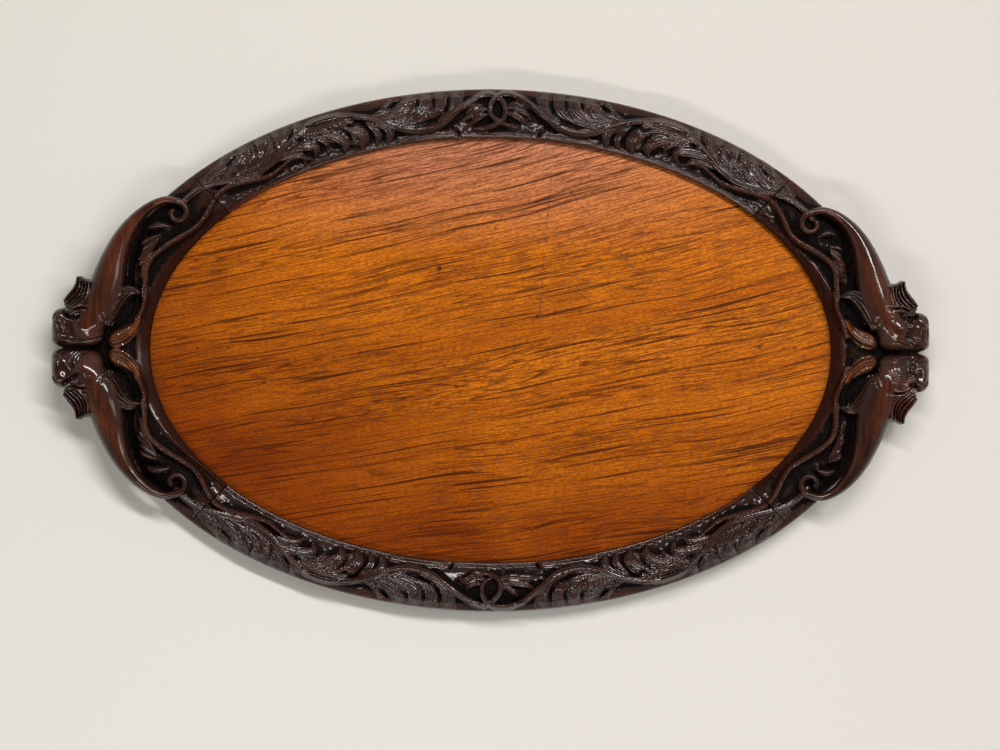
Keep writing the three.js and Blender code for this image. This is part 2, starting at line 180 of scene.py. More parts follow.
# Orange-brown ground in painted light: lit and shaded tones, lighter towards the window lamp, the right and the
# middle and darker towards the edges; then each mark in its colour
light = (bands * 0.6 + rings * 0.4).between(0.34, 0.64)
shaded_tone = light.blend((0.27, 0.045, 0.0005), (0.41, 0.077, 0.001))
lit_tone = light.blend((0.68, 0.16, 0.002), (0.90, 0.26, 0.009))
lit_part = clouds.between(0.34, 0.66) * 0.42 + 0.56 - from_middle * 0.36 + across * 3.1 + along * 0.6
grain = lit_part.blend(shaded_tone, lit_tone)
for share, colour in [
    (painted_sheen, (0.76, 0.33, 0.20)),
    (streaks.between(0.52, 0.60) * busy * 0.30, (0.12, 0.018, 0.0003)),
    (pores.between(0.48, 0.58) * (busy * 0.30 + 0.28), (0.13, 0.020, 0.0003)),
    (specks.between(0.46, 0.58) * 0.38, (0.12, 0.016, 0.0003)),
    (fine_line * drawn * (busy * 0.45 + 0.30), (0.085, 0.0125, 0.0005)),
    (long_lines.between(0.595, 0.635) * (breaks * 0.4 + 0.45), (0.05, 0.007, 0.0004)),
    (ring_line * (breaks * 0.4 + 0.05) * streaks.between(0.38, 0.50, 0.4, 1.0), (0.024, 0.004, 0.0006)),
    (rim_shade, (0.05, 0.014, 0.003)),
]:
    grain = share.blend(grain, colour)


def spot(x, y, radius):
    """1 on a small round mark in the board, 0 away from it."""
    board_top = 0.010
    away = place.node("ShaderNodeVectorMath", {"operation": "DISTANCE"}, {0: place, 1: (x, y, board_top)}, 1)
    return away.between(radius, radius * 0.4)


def stain_line(x, y, end_x, end_y, width):
    """1 on a thin drawn line from one point to another, 0 away from it."""
    length = hypot(end_x - x, end_y - y)
    way = ((end_x - x) / length, (end_y - y) / length)
    ahead = (along - x) * way[0] + (across - y) * way[1]
    aside = place.maths("ABSOLUTE", (across - y) * way[0] - (along - x) * way[1])
    soft = 0.001
    return aside.between(width, width * 0.3) * ahead.between(-soft, soft) * ahead.between(length + soft, length)


marks = spot(-0.0428, 0.0676, 0.0030)
for x, y, radius in [
    (0.2225, 0.0036, 0.0022), (0.2513, 0.0036, 0.002), (-0.242, 0.0004, 0.002), (-0.2163, 0.001, 0.0018),
    (0.0387, 0.028, 0.0024), (0.1174, 0.0412, 0.0018), (0.0033, 0.1009, 0.0018),
]:
    marks = marks + spot(x, y, radius) * 0.7
grain = (marks * 0.85).blend(grain, (0.030, 0.012, 0.010))
stains = stain_line(0.0494, 0.1483, 0.0400, 0.0290, 0.0011) + stain_line(0.0577, 0.1400, 0.1195, 0.0660, 0.0012) * 0.9
worn_ink = place.noise(210, 2.0).between(0.44, 0.56)
grain = (stains * worn_ink * 0.55).blend(grain, (0.055, 0.020, 0.050))
feed(board_shader, Base_Color=grain, Roughness=pores.between(0.5, 0.65) * 0.15 + 0.32, Specular_IOR_Level=0.2)
bump_height = pores * 0.6 + streaks * 0.4
bump = {"Strength": 0.35, "Distance": 0.0007, "Height": bump_height}
feed(board_shader, Normal=place.node("ShaderNodeBump", {"invert": True}, bump))
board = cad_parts["base_board"]
board.data.materials.clear()
board.data.materials.append(board_wood)


# Rim: four blocks of dark, dense hardwood, butt-jointed on 45 degree cuts and carved as one
# hoop. Plans and heights are in millimetres. One drawing is mirrored into the four quadrants,
# and each has shifts, face cuts and an eye of its own, as the hand that carved it left them.

WELL_A, WELL_B, LEAST_A, LEAST_B = 281.0, 175.0, 60, 40
WIDTH_ENDS, WIDTH_SIDES = 48.5, 40.7
LIP, CROWN, OUTER_EDGE = 15.0, 24.0, 13.0
SEAT_REACH, SEAT_HEIGHT = 16.3, 10.3
FOOT_BEVEL = 2.5
JOINT, JOINT_GAP = 104.0, 0.14
GROUND_CUT, PUNCH_DEPTH, PUNCH_PITCH = 3.0, 1.0, 2.3
RIB_PITCH, RIB_DEPTH, BEAD_PITCH = 2.3, 1.1, 2.6
SCREW_BORE, PIN_BORE, BORE_GAP, BELOW_ALL, ABOVE_ALL = 2.3, 1.2, 0.3, -2, 60
GRIT = 0.74

turns, step = np.linspace(pi / 2, 0, 901), pi / 1800
middle_a, middle_b = WELL_A + WIDTH_ENDS / 2, WELL_B + WIDTH_SIDES / 2
pace = np.hypot(middle_a * np.sin(turns[:-1] - step / 2), middle_b * np.cos(turns[:-1] - step / 2))
lengths = np.concatenate([[0], np.cumsum(pace * step)])


def rim_point(s, u):
    """Plan of a point of the rim: s along its middle line from the middle of a long side, u across it."""
    turn = np.interp(np.abs(s), lengths, turns)
    turn = np.where(np.asarray(s) < 0, pi - turn, turn)
    return (WELL_A + u * WIDTH_ENDS) * np.cos(turn), (WELL_B + u * WIDTH_SIDES) * np.sin(turn)


def share_across(x, y):
    """The share u of the rim's width at points of the plan: 0 at the well and 1 at the outer edge."""
    u = np.full(x.shape, 0.5)
    for _ in range(9):
        a = np.maximum(WELL_A + u * WIDTH_ENDS, LEAST_A)
        b = np.maximum(WELL_B + u * WIDTH_SIDES, LEAST_B)
        slope = 2 * (x * x * WIDTH_ENDS / a ** 3 + y * y * WIDTH_SIDES / b ** 3)
        u = np.clip(u + ((x / a) ** 2 + (y / b) ** 2 - 1) / slope, -2.5, 4)
    return u


def ground_height(u):
    rising = LIP + (CROWN - LIP) * np.sin(pi * np.clip(u, 0, 0.5))
    falling = OUTER_EDGE + (CROWN - OUTER_EDGE) * np.cos(pi * (np.clip(u, 0.5, 1) - 0.5))
    return np.where(u < 0.5, rising, falling)


def flowing(points, steps=6):
    """A smooth run of points through the given ones; further columns, such as widths, go along."""
    p = np.asarray(points, float)
    p = np.vstack([2 * p[0] - p[1], p, 2 * p[-1] - p[-2]])
    t = np.linspace(0, 1, steps, endpoint=False)[:, None]
    run = []
    for a, b, c, d in zip(p[:-3], p[1:-2], p[2:-1], p[3:]):
        bend, swing = 2 * a - 5 * b + 4 * c - d, 3 * b - a - 3 * c + d
        run.append(0.5 * (2 * b + (c - a) * t + bend * t ** 2 + swing * t ** 3))
    return np.vstack(run + [p[-2:-1]])


def smooth_lower(a, b, soft):
    h = np.maximum(soft - np.abs(a - b), 0) / soft
    return np.minimum(a, b) - h * h * soft / 4


def softened(height, reach):
    """A height map blurred by three passes of a square brush."""
    n = max(int(round(reach / GRIT)), 1)
    for _ in range(3):
        for axis in (0, 1):
            pad = [(n + 1, n) if k == axis else (0, 0) for k in (0, 1)]
            run = np.cumsum(np.pad(height, pad, mode="edge"), axis=axis)
            high = run[2 * n + 1:] if axis == 0 else run[:, 2 * n + 1:]
            low = run[:-2 * n - 1] if axis == 0 else run[:, :-2 * n - 1]
            height = (high - low) / (2 * n + 1)
    return height


class Blank:
    """A block of wood as a field of distances, below 0 inside, with a map of its relief."""

    def __init__(self, x_range, y_range, z_range):
        self.x = np.arange(x_range[0], x_range[1], GRIT)
        self.y = np.arange(y_range[0], y_range[1], GRIT)
        self.z = np.arange(z_range[0], z_range[1], GRIT)
        self.plan_x, self.plan_y = np.meshgrid(self.x, self.y, indexing="ij")
        self.u = share_across(self.plan_x, self.plan_y)
        self.ground = ground_height(self.u)
        self.relief, self.cuts, self.polish = (np.zeros_like(self.u) for _ in range(3))
        self.comb, self.combed, self.scales = (np.zeros_like(self.u) for _ in range(3))

    def window(self, points, reach):
        """The part of the plan within reach of some points."""
        low, high = points.min(0) - reach, points.max(0) + reach
        i = np.clip(np.searchsorted(self.x, (low[0], high[0])), 0, len(self.x))
        j = np.clip(np.searchsorted(self.y, (low[1], high[1])), 0, len(self.y))
        return slice(i[0], i[1]), slice(j[0], j[1])

    def beside(self, run, reach):
        """For the plan near a run: its window, the signed distance to the run and the place along it."""
        w = self.window(run[:, :2], reach)
        x, y = self.plan_x[w], self.plan_y[w]
        if x.size == 0:
            return None
        best = np.full(x.shape, 1e9)
        side, where = np.zeros_like(best), np.zeros_like(best)
        for k, (a, b) in enumerate(zip(run[:-1, :2], run[1:, :2])):
            dx, dy = b - a
            length = dx * dx + dy * dy
            if length < 1e-9:
                continue
            t = np.clip(((x - a[0]) * dx + (y - a[1]) * dy) / length, 0, 1)
            ex, ey = x - a[0] - t * dx, y - a[1] - t * dy
            d = ex * ex + ey * ey
            nearer = d < best
            best = np.where(nearer, d, best)
            where = np.where(nearer, k + t, where)
            side = np.where(nearer, dx * ey - dy * ex, side)
        return w, np.copysign(np.sqrt(best), side), where

    def ridge(self, run, widths, heights, ribs=0, tilt=0.0, crest=0.62, beads=0.0, map_name="relief"):
        """Raises a ridge along a run. Fine ribs run along it and close up as it narrows; tilt lifts one edge."""
        found = self.beside(run, max(widths) + 1)
        if found is None:
            return
        w, d, where = found
        share = where / (len(run) - 1)
        width = np.interp(share, np.linspace(0, 1, len(widths)), widths)
        height = np.interp(share, np.linspace(0, 1, len(heights)), heights)
        r = np.clip(d / width, -1, 1)
        profile = height * np.maximum(1 - r * r, 0) ** crest * (1 + tilt * r)
        turns_across = ribs * (r + 1) / 2
        if ribs:
            cut = RIB_DEPTH * (0.5 + 0.5 * np.cos(2 * pi * turns_across))
            profile = profile - cut * np.clip(4 * (1 - r * r), 0, 1) * np.clip(height / 3, 0, 1)
        if beads:
            paces = np.concatenate([[0], np.cumsum(np.linalg.norm(np.diff(run[:, :2], axis=0), axis=1))])
            ahead = np.interp(where, np.arange(len(run)), paces) / BEAD_PITCH
            crossed = np.cos(pi * (ahead + 2 * r)) * np.cos(pi * (ahead - 2 * r))
            profile = profile + beads * crossed * (1 - r * r)
        target = getattr(self, map_name)
        if map_name == "relief":
            on_top = profile > target[w]
            self.comb[w] = np.where(on_top, turns_across, self.comb[w])
            self.combed[w] = np.where(on_top, ribs > 0, self.combed[w])
            self.scales[w] = np.where(on_top, beads > 0, self.scales[w])
        target[w] = np.maximum(target[w], profile)


def quadrant_warp(sx, sy):
    """How far this quadrant's carving is drawn out along the rim, against the mean drawing."""
    valley = {(-1, 1): 55, (1, 1): 68, (-1, -1): 62, (1, -1): 70}[sx, sy]
    scroll = {(-1, 1): 259, (1, 1): 272, (-1, -1): 263, (1, -1): 269}[sx, sy]
    return [-40, 0, 63.75, 150, 265.75, 330, 400], [-40 + 6 * sx, 6 * sx, valley, 150 + 4 * sx, scroll, 330, 400]


def on_rim(path, sx, sy, steps=6):
    run = flowing(path, steps)
    known, drawn = quadrant_warp(sx, sy)
    x, y = rim_point(np.interp(run[:, 0], known, drawn), run[:, 1])
    return np.column_stack([x * sx, y * sy, run[:, 2:]])


def beside_run(run, offset):
    """The same run moved sideways, by an offset that may change along it."""
    step = np.gradient(run[:, :2], axis=0)
    step /= np.maximum(np.linalg.norm(step, axis=1, keepdims=True), 1e-9)
    reach = np.interp(np.linspace(0, 1, len(run)), np.linspace(0, 1, len(offset)), offset)[:, None]
    return np.column_stack([run[:, :2] + reach * step[:, ::-1] * (-1, 1), run[:, 2:]])


MAIN_STEM = [
    (34, .59), (40, .47), (50, .31), (60, .25), (70, .23), (80, .27), (90, .38), (100, .55), (110, .68), (120, .77),
    (130, .84), (140, .85), (150, .83), (160, .73), (170, .62), (180, .52), (190, .42), (200, .37), (210, .35),
    (220, .4), (230, .48), (240, .58), (250, .66), (260, .69), (272, .68),
]
STEM_WIDTHS, STEM_HEIGHTS = [3.4, 3.5, 3.3, 3.4, 3.5, 3.2], [6.8, 6.8, 6.6, 6.9, 6.6, 6.2]

# Low sheets that the lobes of each leaf stand on, with their half widths
LEAF_SHEETS = [
    ([(100, .62), (86, .6), (72, .66), (60, .74), (46, .8), (34, .88)], [4, 8, 11.5, 12, 10, 5]),
    ([(248, .74), (230, .72), (212, .74), (196, .76), (180, .82), (164, .9)], [3, 8, 10, 11.5, 9, 4]),
    ([(160, .6), (146, .58), (132, .5), (124, .36), (120, .22)], [3, 7.5, 9.5, 8.5, 4]),
]
# Leaf lobes from root to tip, each with its half widths and height
OUTER_LOBES = [
    ([(54, .38), (45, .46), (38, .6), (35, .76), (37, .95)], [1.6, 4, 5.8, 6, 4.2], 5.4),
    ([(98, .46), (84, .39), (70, .4), (58, .5), (50, .66), (49, .92)], [1.6, 4, 6, 7, 7, 4.8], 6.4),
    ([(101, .52), (88, .48), (75, .52), (65, .64), (60, .8), (61, .96)], [1.5, 3.6, 5.6, 6.6, 6.4, 4.6], 6.4),
    ([(103, .57), (93, .56), (83, .61), (76, .72), (72, .85), (74, .97)], [1.5, 3.2, 5, 5.8, 5.6, 4.4], 6),
    ([(106, .64), (98, .68), (91, .76), (87, .88)], [1.2, 2.8, 3.6, 2.4], 5),
    ([(178, .6), (168, .7), (160, .82), (156, .95)], [1.4, 3.4, 4.2, 3.2], 5.2),
    ([(196, .5), (184, .58), (173, .7), (167, .86)], [1.4, 3.6, 5, 4.4], 5.2),
    ([(214, .44), (199, .49), (187, .6), (179, .75), (176, .92)], [1.6, 4.6, 6.6, 6.4, 4.2], 6.2),
    ([(228, .49), (213, .53), (200, .63), (192, .78), (189, .93)], [1.5, 4.4, 6.2, 6, 4.2], 6.4),
    ([(240, .57), (227, .59), (214, .67), (206, .8), (204, .94)], [1.4, 4, 5.6, 5.6, 4.2], 6),
    ([(250, .66), (238, .68), (227, .76), (221, .9)], [1.2, 3.2, 4.2, 3], 5),
]
INNER_LOBES = [
    ([(106, .54), (98, .44), (94, .3), (97, .13)], [1.6, 3.8, 4.6, 2.6], 5.2),
    ([(110, .57), (106, .43), (104, .28), (107, .13)], [1.4, 3.2, 3.8, 2.2], 4.6),
    ([(164, .66), (150, .71), (137, .72), (126, .7), (119, .66)], [1.6, 3.8, 4.8, 4.6, 2.2], 6.2),
    ([(158, .64), (142, .66), (128, .6), (119, .46), (116, .28), (120, .12)], [1.4, 4, 5.6, 6.4, 5.6, 2.2], 6.4),
    ([(158, .6), (147, .58), (138, .5), (133, .38), (132, .25), (135, .13)], [1.3, 3.6, 5.2, 5.6, 4.6, 1.8], 5.8),
    ([(160, .57), (151, .53), (146, .44), (145, .33)], [1.2, 2.8, 3.4, 1.8], 5),
    ([(196, .42), (183, .48), (171, .5), (160, .45), (155, .35), (158, .22)], [1.6, 3.6, 5, 5.4, 4.4, 1.8], 6.4),
    ([(191, .37), (179, .38), (170, .32), (168, .2)], [1.2, 3, 3.4, 1.6], 5),
]
NOTCHES = [
    [(47, .5), (43, .66), (42, .84), (43, 1)], [(62, .5), (56, .62), (54, .8), (56, .97)],
    [(70, .66), (67, .78), (67, .92)], [(81, 1), (82, .88), (87, .79), (97, .72)], [(72, .34), (60, .38), (52, .46)],
    [(186, .56), (182, .7), (181, .86), (182, .97)], [(206, .6), (198, .72), (196, .86), (196.5, .98)],
    [(173, .66), (165, .78), (162, .94)], [(212, 1), (212, .89), (217, .82), (227, .77)],
    [(36, .03), (37, .12), (41, .19)], [(126, .64), (121, .56), (118, .6)],
    [(140, .62), (130, .54), (126, .4), (127, .2)],
]
SNAKE_BODY = [
    (384, .27), (375, .25), (360, .2), (350, .25), (340, .32), (330, .4), (320, .43), (310, .38), (300, .3),
    (290, .22), (280, .18), (270, .22), (260, .3), (250, .38), (240, .41), (230, .36), (220, .28), (210, .22),
    (200, .2), (190, .25), (180, .3), (170, .25), (163, .15),
]
INNER_BAND = [(40, .12), (55, .11), (72, .11), (88, .12)]


def ribs_of(widths):
    return round(2 * max(widths) / RIB_PITCH)


def carve_foliage(blank, sx, sy):
    """Waving main stem, the ribbed leaf lobes that leave it on both sides, and the snake's body and tail."""
    def ridge(path, *shape, **more):
        blank.ridge(on_rim(path, sx, sy), *shape, **more)

    lean = 0.24 * sx * sy
    ridge(INNER_BAND, [2.8, 3.4, 3.4, 2.8], [1.6, 2, 2, 1.4], crest=0.2)
    for path, widths in LEAF_SHEETS:
        ridge(path, widths, [3.4, 3.8, 4, 4, 3.4], ribs=ribs_of(widths), crest=0.25)
    for lobes, tilt in ((OUTER_LOBES, -lean), (INNER_LOBES, lean)):
        for path, widths, height in lobes:
            heights = [0.75 * height, 0.9 * height, height, height, 0.75 * height]
            ridge(path, widths, heights, ribs=ribs_of(widths), tilt=tilt, crest=0.38)
    ridge(MAIN_STEM, STEM_WIDTHS, STEM_HEIGHTS, ribs=3, crest=0.4)
    for notch in NOTCHES:
        ridge(notch, [0.9, 1.3, 1.3, 1], [1.2, 2.6, 2.4, 1.2], map_name="cuts")
    ridge(SNAKE_BODY, [3.3, 3.3, 3.2, 3, 2.8, 2.2, 0.9], [6.8, 7, 7, 6.6, 6.2, 4.8, 2], beads=1.2)


# Linked hooks at the middle of each long side, in the plan, with the leaves in the bay below them
HOOKS = {
    1: ([
        (-42, 188), (-34, 193.4), (-24.7, 199.4), (-14, 207), (-5.9, 210.6), (2, 209.8), (8.2, 205), (11.4, 197),
        (8.6, 189), (0, 184.4), (-8.2, 182.2), (-15, 182),
    ], [
        (54, 184.6), (46, 190.2), (38.8, 195.8), (29, 204.2), (18, 210.2), (9, 211), (2.5, 207.4), (-1, 201),
        (-1, 194.4), (4, 189.2), (12, 185.4), (21, 183),
    ]),
    -1: ([
        (-56, -184.6), (-44.7, -188), (-34.1, -194), (-22.4, -202.8), (-10.6, -208.8), (-2, -210), (3.5, -206),
        (8.8, -199), (9.6, -192.8), (6.4, -187.2), (-1, -184), (-13, -182.8),
    ], [
        (62, -182.8), (53, -187.6), (44, -193.4), (36, -200), (27.1, -207.2), (14, -211.6), (3, -210.6), (-3.4, -205),
        (-5.9, -197.6), (-4, -191), (2, -187),
    ]),
}
BAY_LEAVES = {
    1: [
        ([(-3, 198), (-10, 197.4), (-17, 193.6), (-24, 188.6)], [1.4, 3, 2.8, 1]),
        ([(-3, 194), (-9, 192), (-14, 188.4), (-19, 185.2)], [1.2, 2.4, 2.2, .8]),
        ([(-8, 202), (-13, 201), (-18, 197.6), (-22, 194.6)], [1.2, 2.2, 2, .8]),
        ([(12, 199), (19, 199.6), (25, 197), (31, 192)], [1.4, 3, 2.8, 1]),
        ([(11, 195), (18, 193.6), (24, 190), (29, 186)], [1.2, 2.6, 2.4, .9]),
        ([(14, 203), (20, 204), (26, 201.6), (30, 198)], [1.2, 2, 1.8, .8]),
    ],
    -1: [
        ([(-3, -188.6), (-12, -186.6), (-20, -189.6), (-25, -187.6)], [1.4, 2.8, 2.8, 1]),
        ([(-6, -192.6), (-12, -191.6), (-17, -194.4), (-18, -197.6)], [1.2, 2.4, 2.2, .8]),
        ([(7, -188), (18, -186.6), (32, -187.2), (47, -186.8)], [1.4, 3, 3, .9]),
        ([(9, -190), (19, -190.6), (30, -192.4), (38, -196.4)], [1.3, 2.8, 2.6, .9]),
        ([(9, -193), (15, -195), (21, -199), (24, -203.6)], [1.2, 2.2, 2, .8]),
    ],
}


def carve_hooks(blank, sy):
    for path, widths in BAY_LEAVES[sy]:
        blank.ridge(flowing(path), [1.25 * width for width in widths], [3.4, 5.2, 5.0, 2.0], ribs=3, crest=0.45)
    for path, height in zip(HOOKS[sy], (6.8, 7.6)):
        blank.ridge(flowing(path), [3.3, 3.2, 3.1, 2.9, 2.6, 1.6], [height] * 5 + [3.4], ribs=3, crest=0.4)


# Horned head: x from the middle of the tray, y from its long axis, z from the table
SCROLL = {(-1, 1): (-2.7, 2.5), (1, 1): (2.3, -3.6), (-1, -1): (-2.7, 1.4), (1, -1): (3, -.4)}
SCROLL_X, SCROLL_Y, SCROLL_R = 260.6, 108.8, 9.2
HORN = [
    (271, 119.4, 23, 3.2, 5, .9), (283, 114, 22, 4.1, 6.4, .7), (294.5, 103.2, 21.6, 5.9, 8, .45),
    (303.5, 89, 21.4, 8.3, 9.6, .2), (309.8, 71.5, 21.4, 11.6, 11.4, 0), (314, 55, 21.6, 14.2, 12.8, 0),
    (318.5, 41, 22, 15, 13.7, 0), (324, 29, 22, 15, 13.4, 0), (329.5, 19.5, 22, 13, 12.6, 0),
    (332, 14, 22, 10, 11, 0),
]
HEAD_MASSES = [
    (334, 14, 18, 19, 15, 13, 0), (345, 9, 16.5, 14.5, 9, 12, 0), (326, 26, 22, 12, 14, 12.6, 20),
    (341, 25, 21, 10.5, 10.5, 11.6, 0), (346.5, 20, 20, 8, 12, 11.5, 0), (335.5, 43, 17, 8.5, 11, 10.5, 15),
]
CHEEK = (333, 19.5, 22.5, 12.0, 12.6, 13.0, -15)
MUZZLE = [
    (345, -.4), (352, .6), (358.5, 3.6), (360.4, 9.2), (358.4, 14.4), (358.6, 19), (359.8, 24.2), (357.6, 29.6),
    (353.2, 32.4), (348.6, 31.4), (345, 25), (342, 14), (342, 5),
]
NOSE_MASSES = [
    (352, 24.6, 22.5, 8, 8, 11.6, 0), (353.4, 18, 22, 7, 11, 11, 0), (350.5, 13, 21.5, 10, 9.4, 11.4, 0),
    (355.4, 7.4, 19, 5.4, 5.6, 9.4, 0),
]
CREST = [
    (324, 46), (330, 36), (346.4, 31.6), (349.6, 36.4), (348, 42.6), (343.8, 48.2), (341, 53.6), (340, 58),
    (337.6, 59.4), (333, 57), (328, 55.8),
]
CREST_LINES = [
    [(329.4, 53.6), (329.6, 47), (331.6, 40.6), (336.6, 35.6), (342, 33)],
    [(331.9, 54.6), (332, 47.6), (334.2, 41.4), (339.4, 36.6), (344.6, 33.4)],
    [(334.4, 56), (334.2, 49), (336.6, 43), (341.6, 38.2), (346.8, 34.2)],
    [(336.8, 57.4), (336.6, 51), (339.2, 45), (343.6, 40.4), (348.2, 35.6)],
    [(338.8, 57.8), (339.4, 52.6), (341.6, 47.6), (345.2, 43), (348.9, 38.4)],
]
CREST_CUTS = [[((ax + bx) / 2, (ay + by) / 2) for (ax, ay), (bx, by) in zip(a, b)]
              for a, b in zip(CREST_LINES, CREST_LINES[1:])]
BROW_LINES = [
    [(322, 34.6), (326, 36.6), (331, 37.6), (337, 37), (343, 35.2), (347.6, 31.4)],
    [(326.4, 29.6), (329.6, 33.2), (334.6, 34.4), (340.4, 33.2), (345.2, 29.6)],
]
FACE_DROP = {(-1, 1): -3.6, (1, 1): 0, (-1, -1): -3, (1, -1): -2.4}
TEMPLE_CUTS = [
    [(324, 35.8), (330.4, 36), (337, 35.6), (343.6, 33)], [(312, 16), (315, 22), (317.6, 29)],
    [(315.4, 13.4), (318.8, 20), (320.6, 28)],
]
FACE_CUTS = {
    (-1, 1): [
        [(349.7, 11.4), (348.6, 16.4), (350.7, 21.4), (354.8, 24.4)],
        [(353.6, 8.2), (352.8, 12.6), (353.8, 17.4), (356.4, 21.4)],
        [(318, 9.2), (326, 6.6), (335, 5.6), (344, 6.4), (351, 7.4)], [(331, 27), (334.5, 24.6), (337, 21.6)],
    ],
    (1, 1): [
        [(330, 8.4), (337, 7.2), (343, 4)], [(333, 11), (340, 9.6), (345.6, 6)],
        [(337, 13.2), (343, 11.8), (348.6, 8.2)], [(341, 15.4), (346, 14), (351, 10.6)],
        [(340.2, 24.4), (341.6, 22.2), (344.6, 22), (346.4, 24)],
        [(329.2, 28.6), (326.4, 24), (326, 19), (328.4, 14)], [(352.6, 9.6), (353.8, 15), (353.8, 20.6)],
        [(356.4, 10.6), (357.4, 15.6), (357.2, 20.6)],
    ],
    (-1, -1): [
        [(334, 16), (337, 11.5), (335.5, 6.5), (331, 3.2)], [(337, 17), (340.2, 12), (338.6, 6.6), (334, 3)],
        [(340, 17.4), (343.2, 12.4), (341.8, 6.8), (337.4, 2.8)], [(343, 17), (346, 12), (344.6, 6.8), (341, 3)],
        [(353.6, 15), (352.8, 10.8), (354, 6)], [(324, 22.6), (328.6, 23.6), (333, 21.6)],
    ],
    (1, -1): [
        [(333.6, 13.4), (335.6, 16.8), (339.8, 18), (344, 16.6), (346.4, 13.6)],
        [(331.2, 14.2), (333.8, 18.8), (339.6, 20.4), (345.6, 18.6), (348.8, 14.6)],
        [(328.8, 14.8), (332.2, 20.8), (339.4, 22.8), (347, 20.4), (351, 15.8)],
        [(326.4, 15.2), (330.4, 22.8), (338.8, 25.2), (345, 23.6)], [(330, 9.4), (336, 7), (340, 3)],
        [(333, 11), (339.4, 7.8), (343.6, 3.2)], [(337, 11.6), (343, 8.4), (347, 3.8)],
        [(341, 12), (346.6, 9), (350.6, 4.6)], [(345, 12.4), (350, 9.6), (354, 5.8)],
        [(349, 13), (353, 10.6), (356.6, 7.4)],
    ],
}
EYES = {(-1, 1): (340.6, 24.4), (1, 1): (343.2, 25.6), (-1, -1): (341.4, 24.2), (1, -1): (346.4, 26.6)}
EYE_FOLDS = {
    (-1, 1): [(335.4, 25.8), (340.4, 24.4), (345.4, 25.4), (349.2, 29.4)],
    (1, 1): [(338, 28.2), (343.4, 27.6), (347.2, 28.4), (349.8, 31.4)],
    (-1, -1): [(334, 20.6), (338.6, 22.4), (343.6, 25.4), (349.4, 29.6)],
    (1, -1): [(342.6, 26.2), (346.6, 26.8), (350, 28.8), (352.4, 31.6)],
}
NOSTRIL = [(354, 28), (356.6, 26), (357.6, 23)]
GILL_LINE = [(288, 45.4), (296.6, 46.8), (304.4, 40.6), (310.4, 30.4), (314.8, 19.5)]
GILL_SPREAD = [.3, 2.3, 2.9, 2.9, 1.7]
SPRAY_LINES = [
    ([(276, 90), (281, 88.4), (285, 86.8), (287.6, 84.4)], (1.2, 2, 2.2, 1.2)),
    ([(275.4, 87.6), (280.4, 84.6), (284.6, 82), (287.4, 79.4)], (1.2, 1.9, 2, 1)),
    ([(276.4, 85), (281.4, 80.6), (286, 76.4), (289.8, 72.2)], (1.2, 2.1, 2.4, 1.2)),
    ([(277.8, 82.6), (282.4, 77), (286.6, 72.2), (289.6, 67.4)], (1.2, 1.9, 2.2, 1)),
    ([(279.6, 80.4), (283.4, 73.6), (286.6, 66.4), (288.4, 57)], (1.2, 1.8, 1.9, .9)),
]
SPRAY_BUD = [(266, 97.4), (270.6, 98.8), (276, 99.4), (281, 97.8)]
SNAKE_HEAD = [
    (288, 25), (290.4, 17), (294.6, 9.8), (299.6, 4.2), (305.6, .9), (311.4, .6), (315.2, 2.6), (316.2, 7),
    (314.4, 12), (310.4, 15.8), (304.6, 17.8), (297.8, 20.6), (292.4, 26.4),
]
SNAKE_RIDGE = [(289.8, 24), (293.5, 16.6), (299, 10.6), (305.6, 7), (312.2, 5)]
SNAKE_CUTS = [
    [(294, 23.6), (297.6, 17.6), (302.8, 13.2), (307.6, 11.4), (311.4, 10.4)],
    [(290.4, 20.4), (294.4, 12.6), (299.6, 7), (305.6, 3.8), (310.6, 3)],
]
WEB = [
    (250, 104), (262, 92), (280, 60), (296, 40), (309, 40), (306, 60), (305, 78), (298, 94), (289, 106), (276, 115),
    (262, 119), (252, 114),
]
DEEP_LINE = [(278, 112), (290, 98), (295, 82), (298, 64), (298, 50), (297, 36), (303, 24), (310, 18)]
CREST_RISES = (3.4, 2.4, 1.6, 0.8, 0)
CREST_STATIONS = [(26.6, 1, .2), (27.4, 1.3, .6), (28, 1.6, .9), (28.4, 1.7, 1), (27.8, 1.4, 1)]
GILL_WIDTHS = (0.9, 1.25, 1.35, 1.35, 1)
SPRAY_DRIFTS, SPRAY_HEIGHTS = (0.9, 0.7, 0.5, 0.3), (3.6, 4.2, 4.4, 3)
SCROLL_START, SCROLL_TURN, SCROLL_STEPS = 0.12 * pi, 1.62 * pi, 14
EYE_PIT_TOP, EYE_PIT_RADIUS, EYE_HEIGHT, EYE_RADIUS = 34, 2.2, 28.6, 1.3


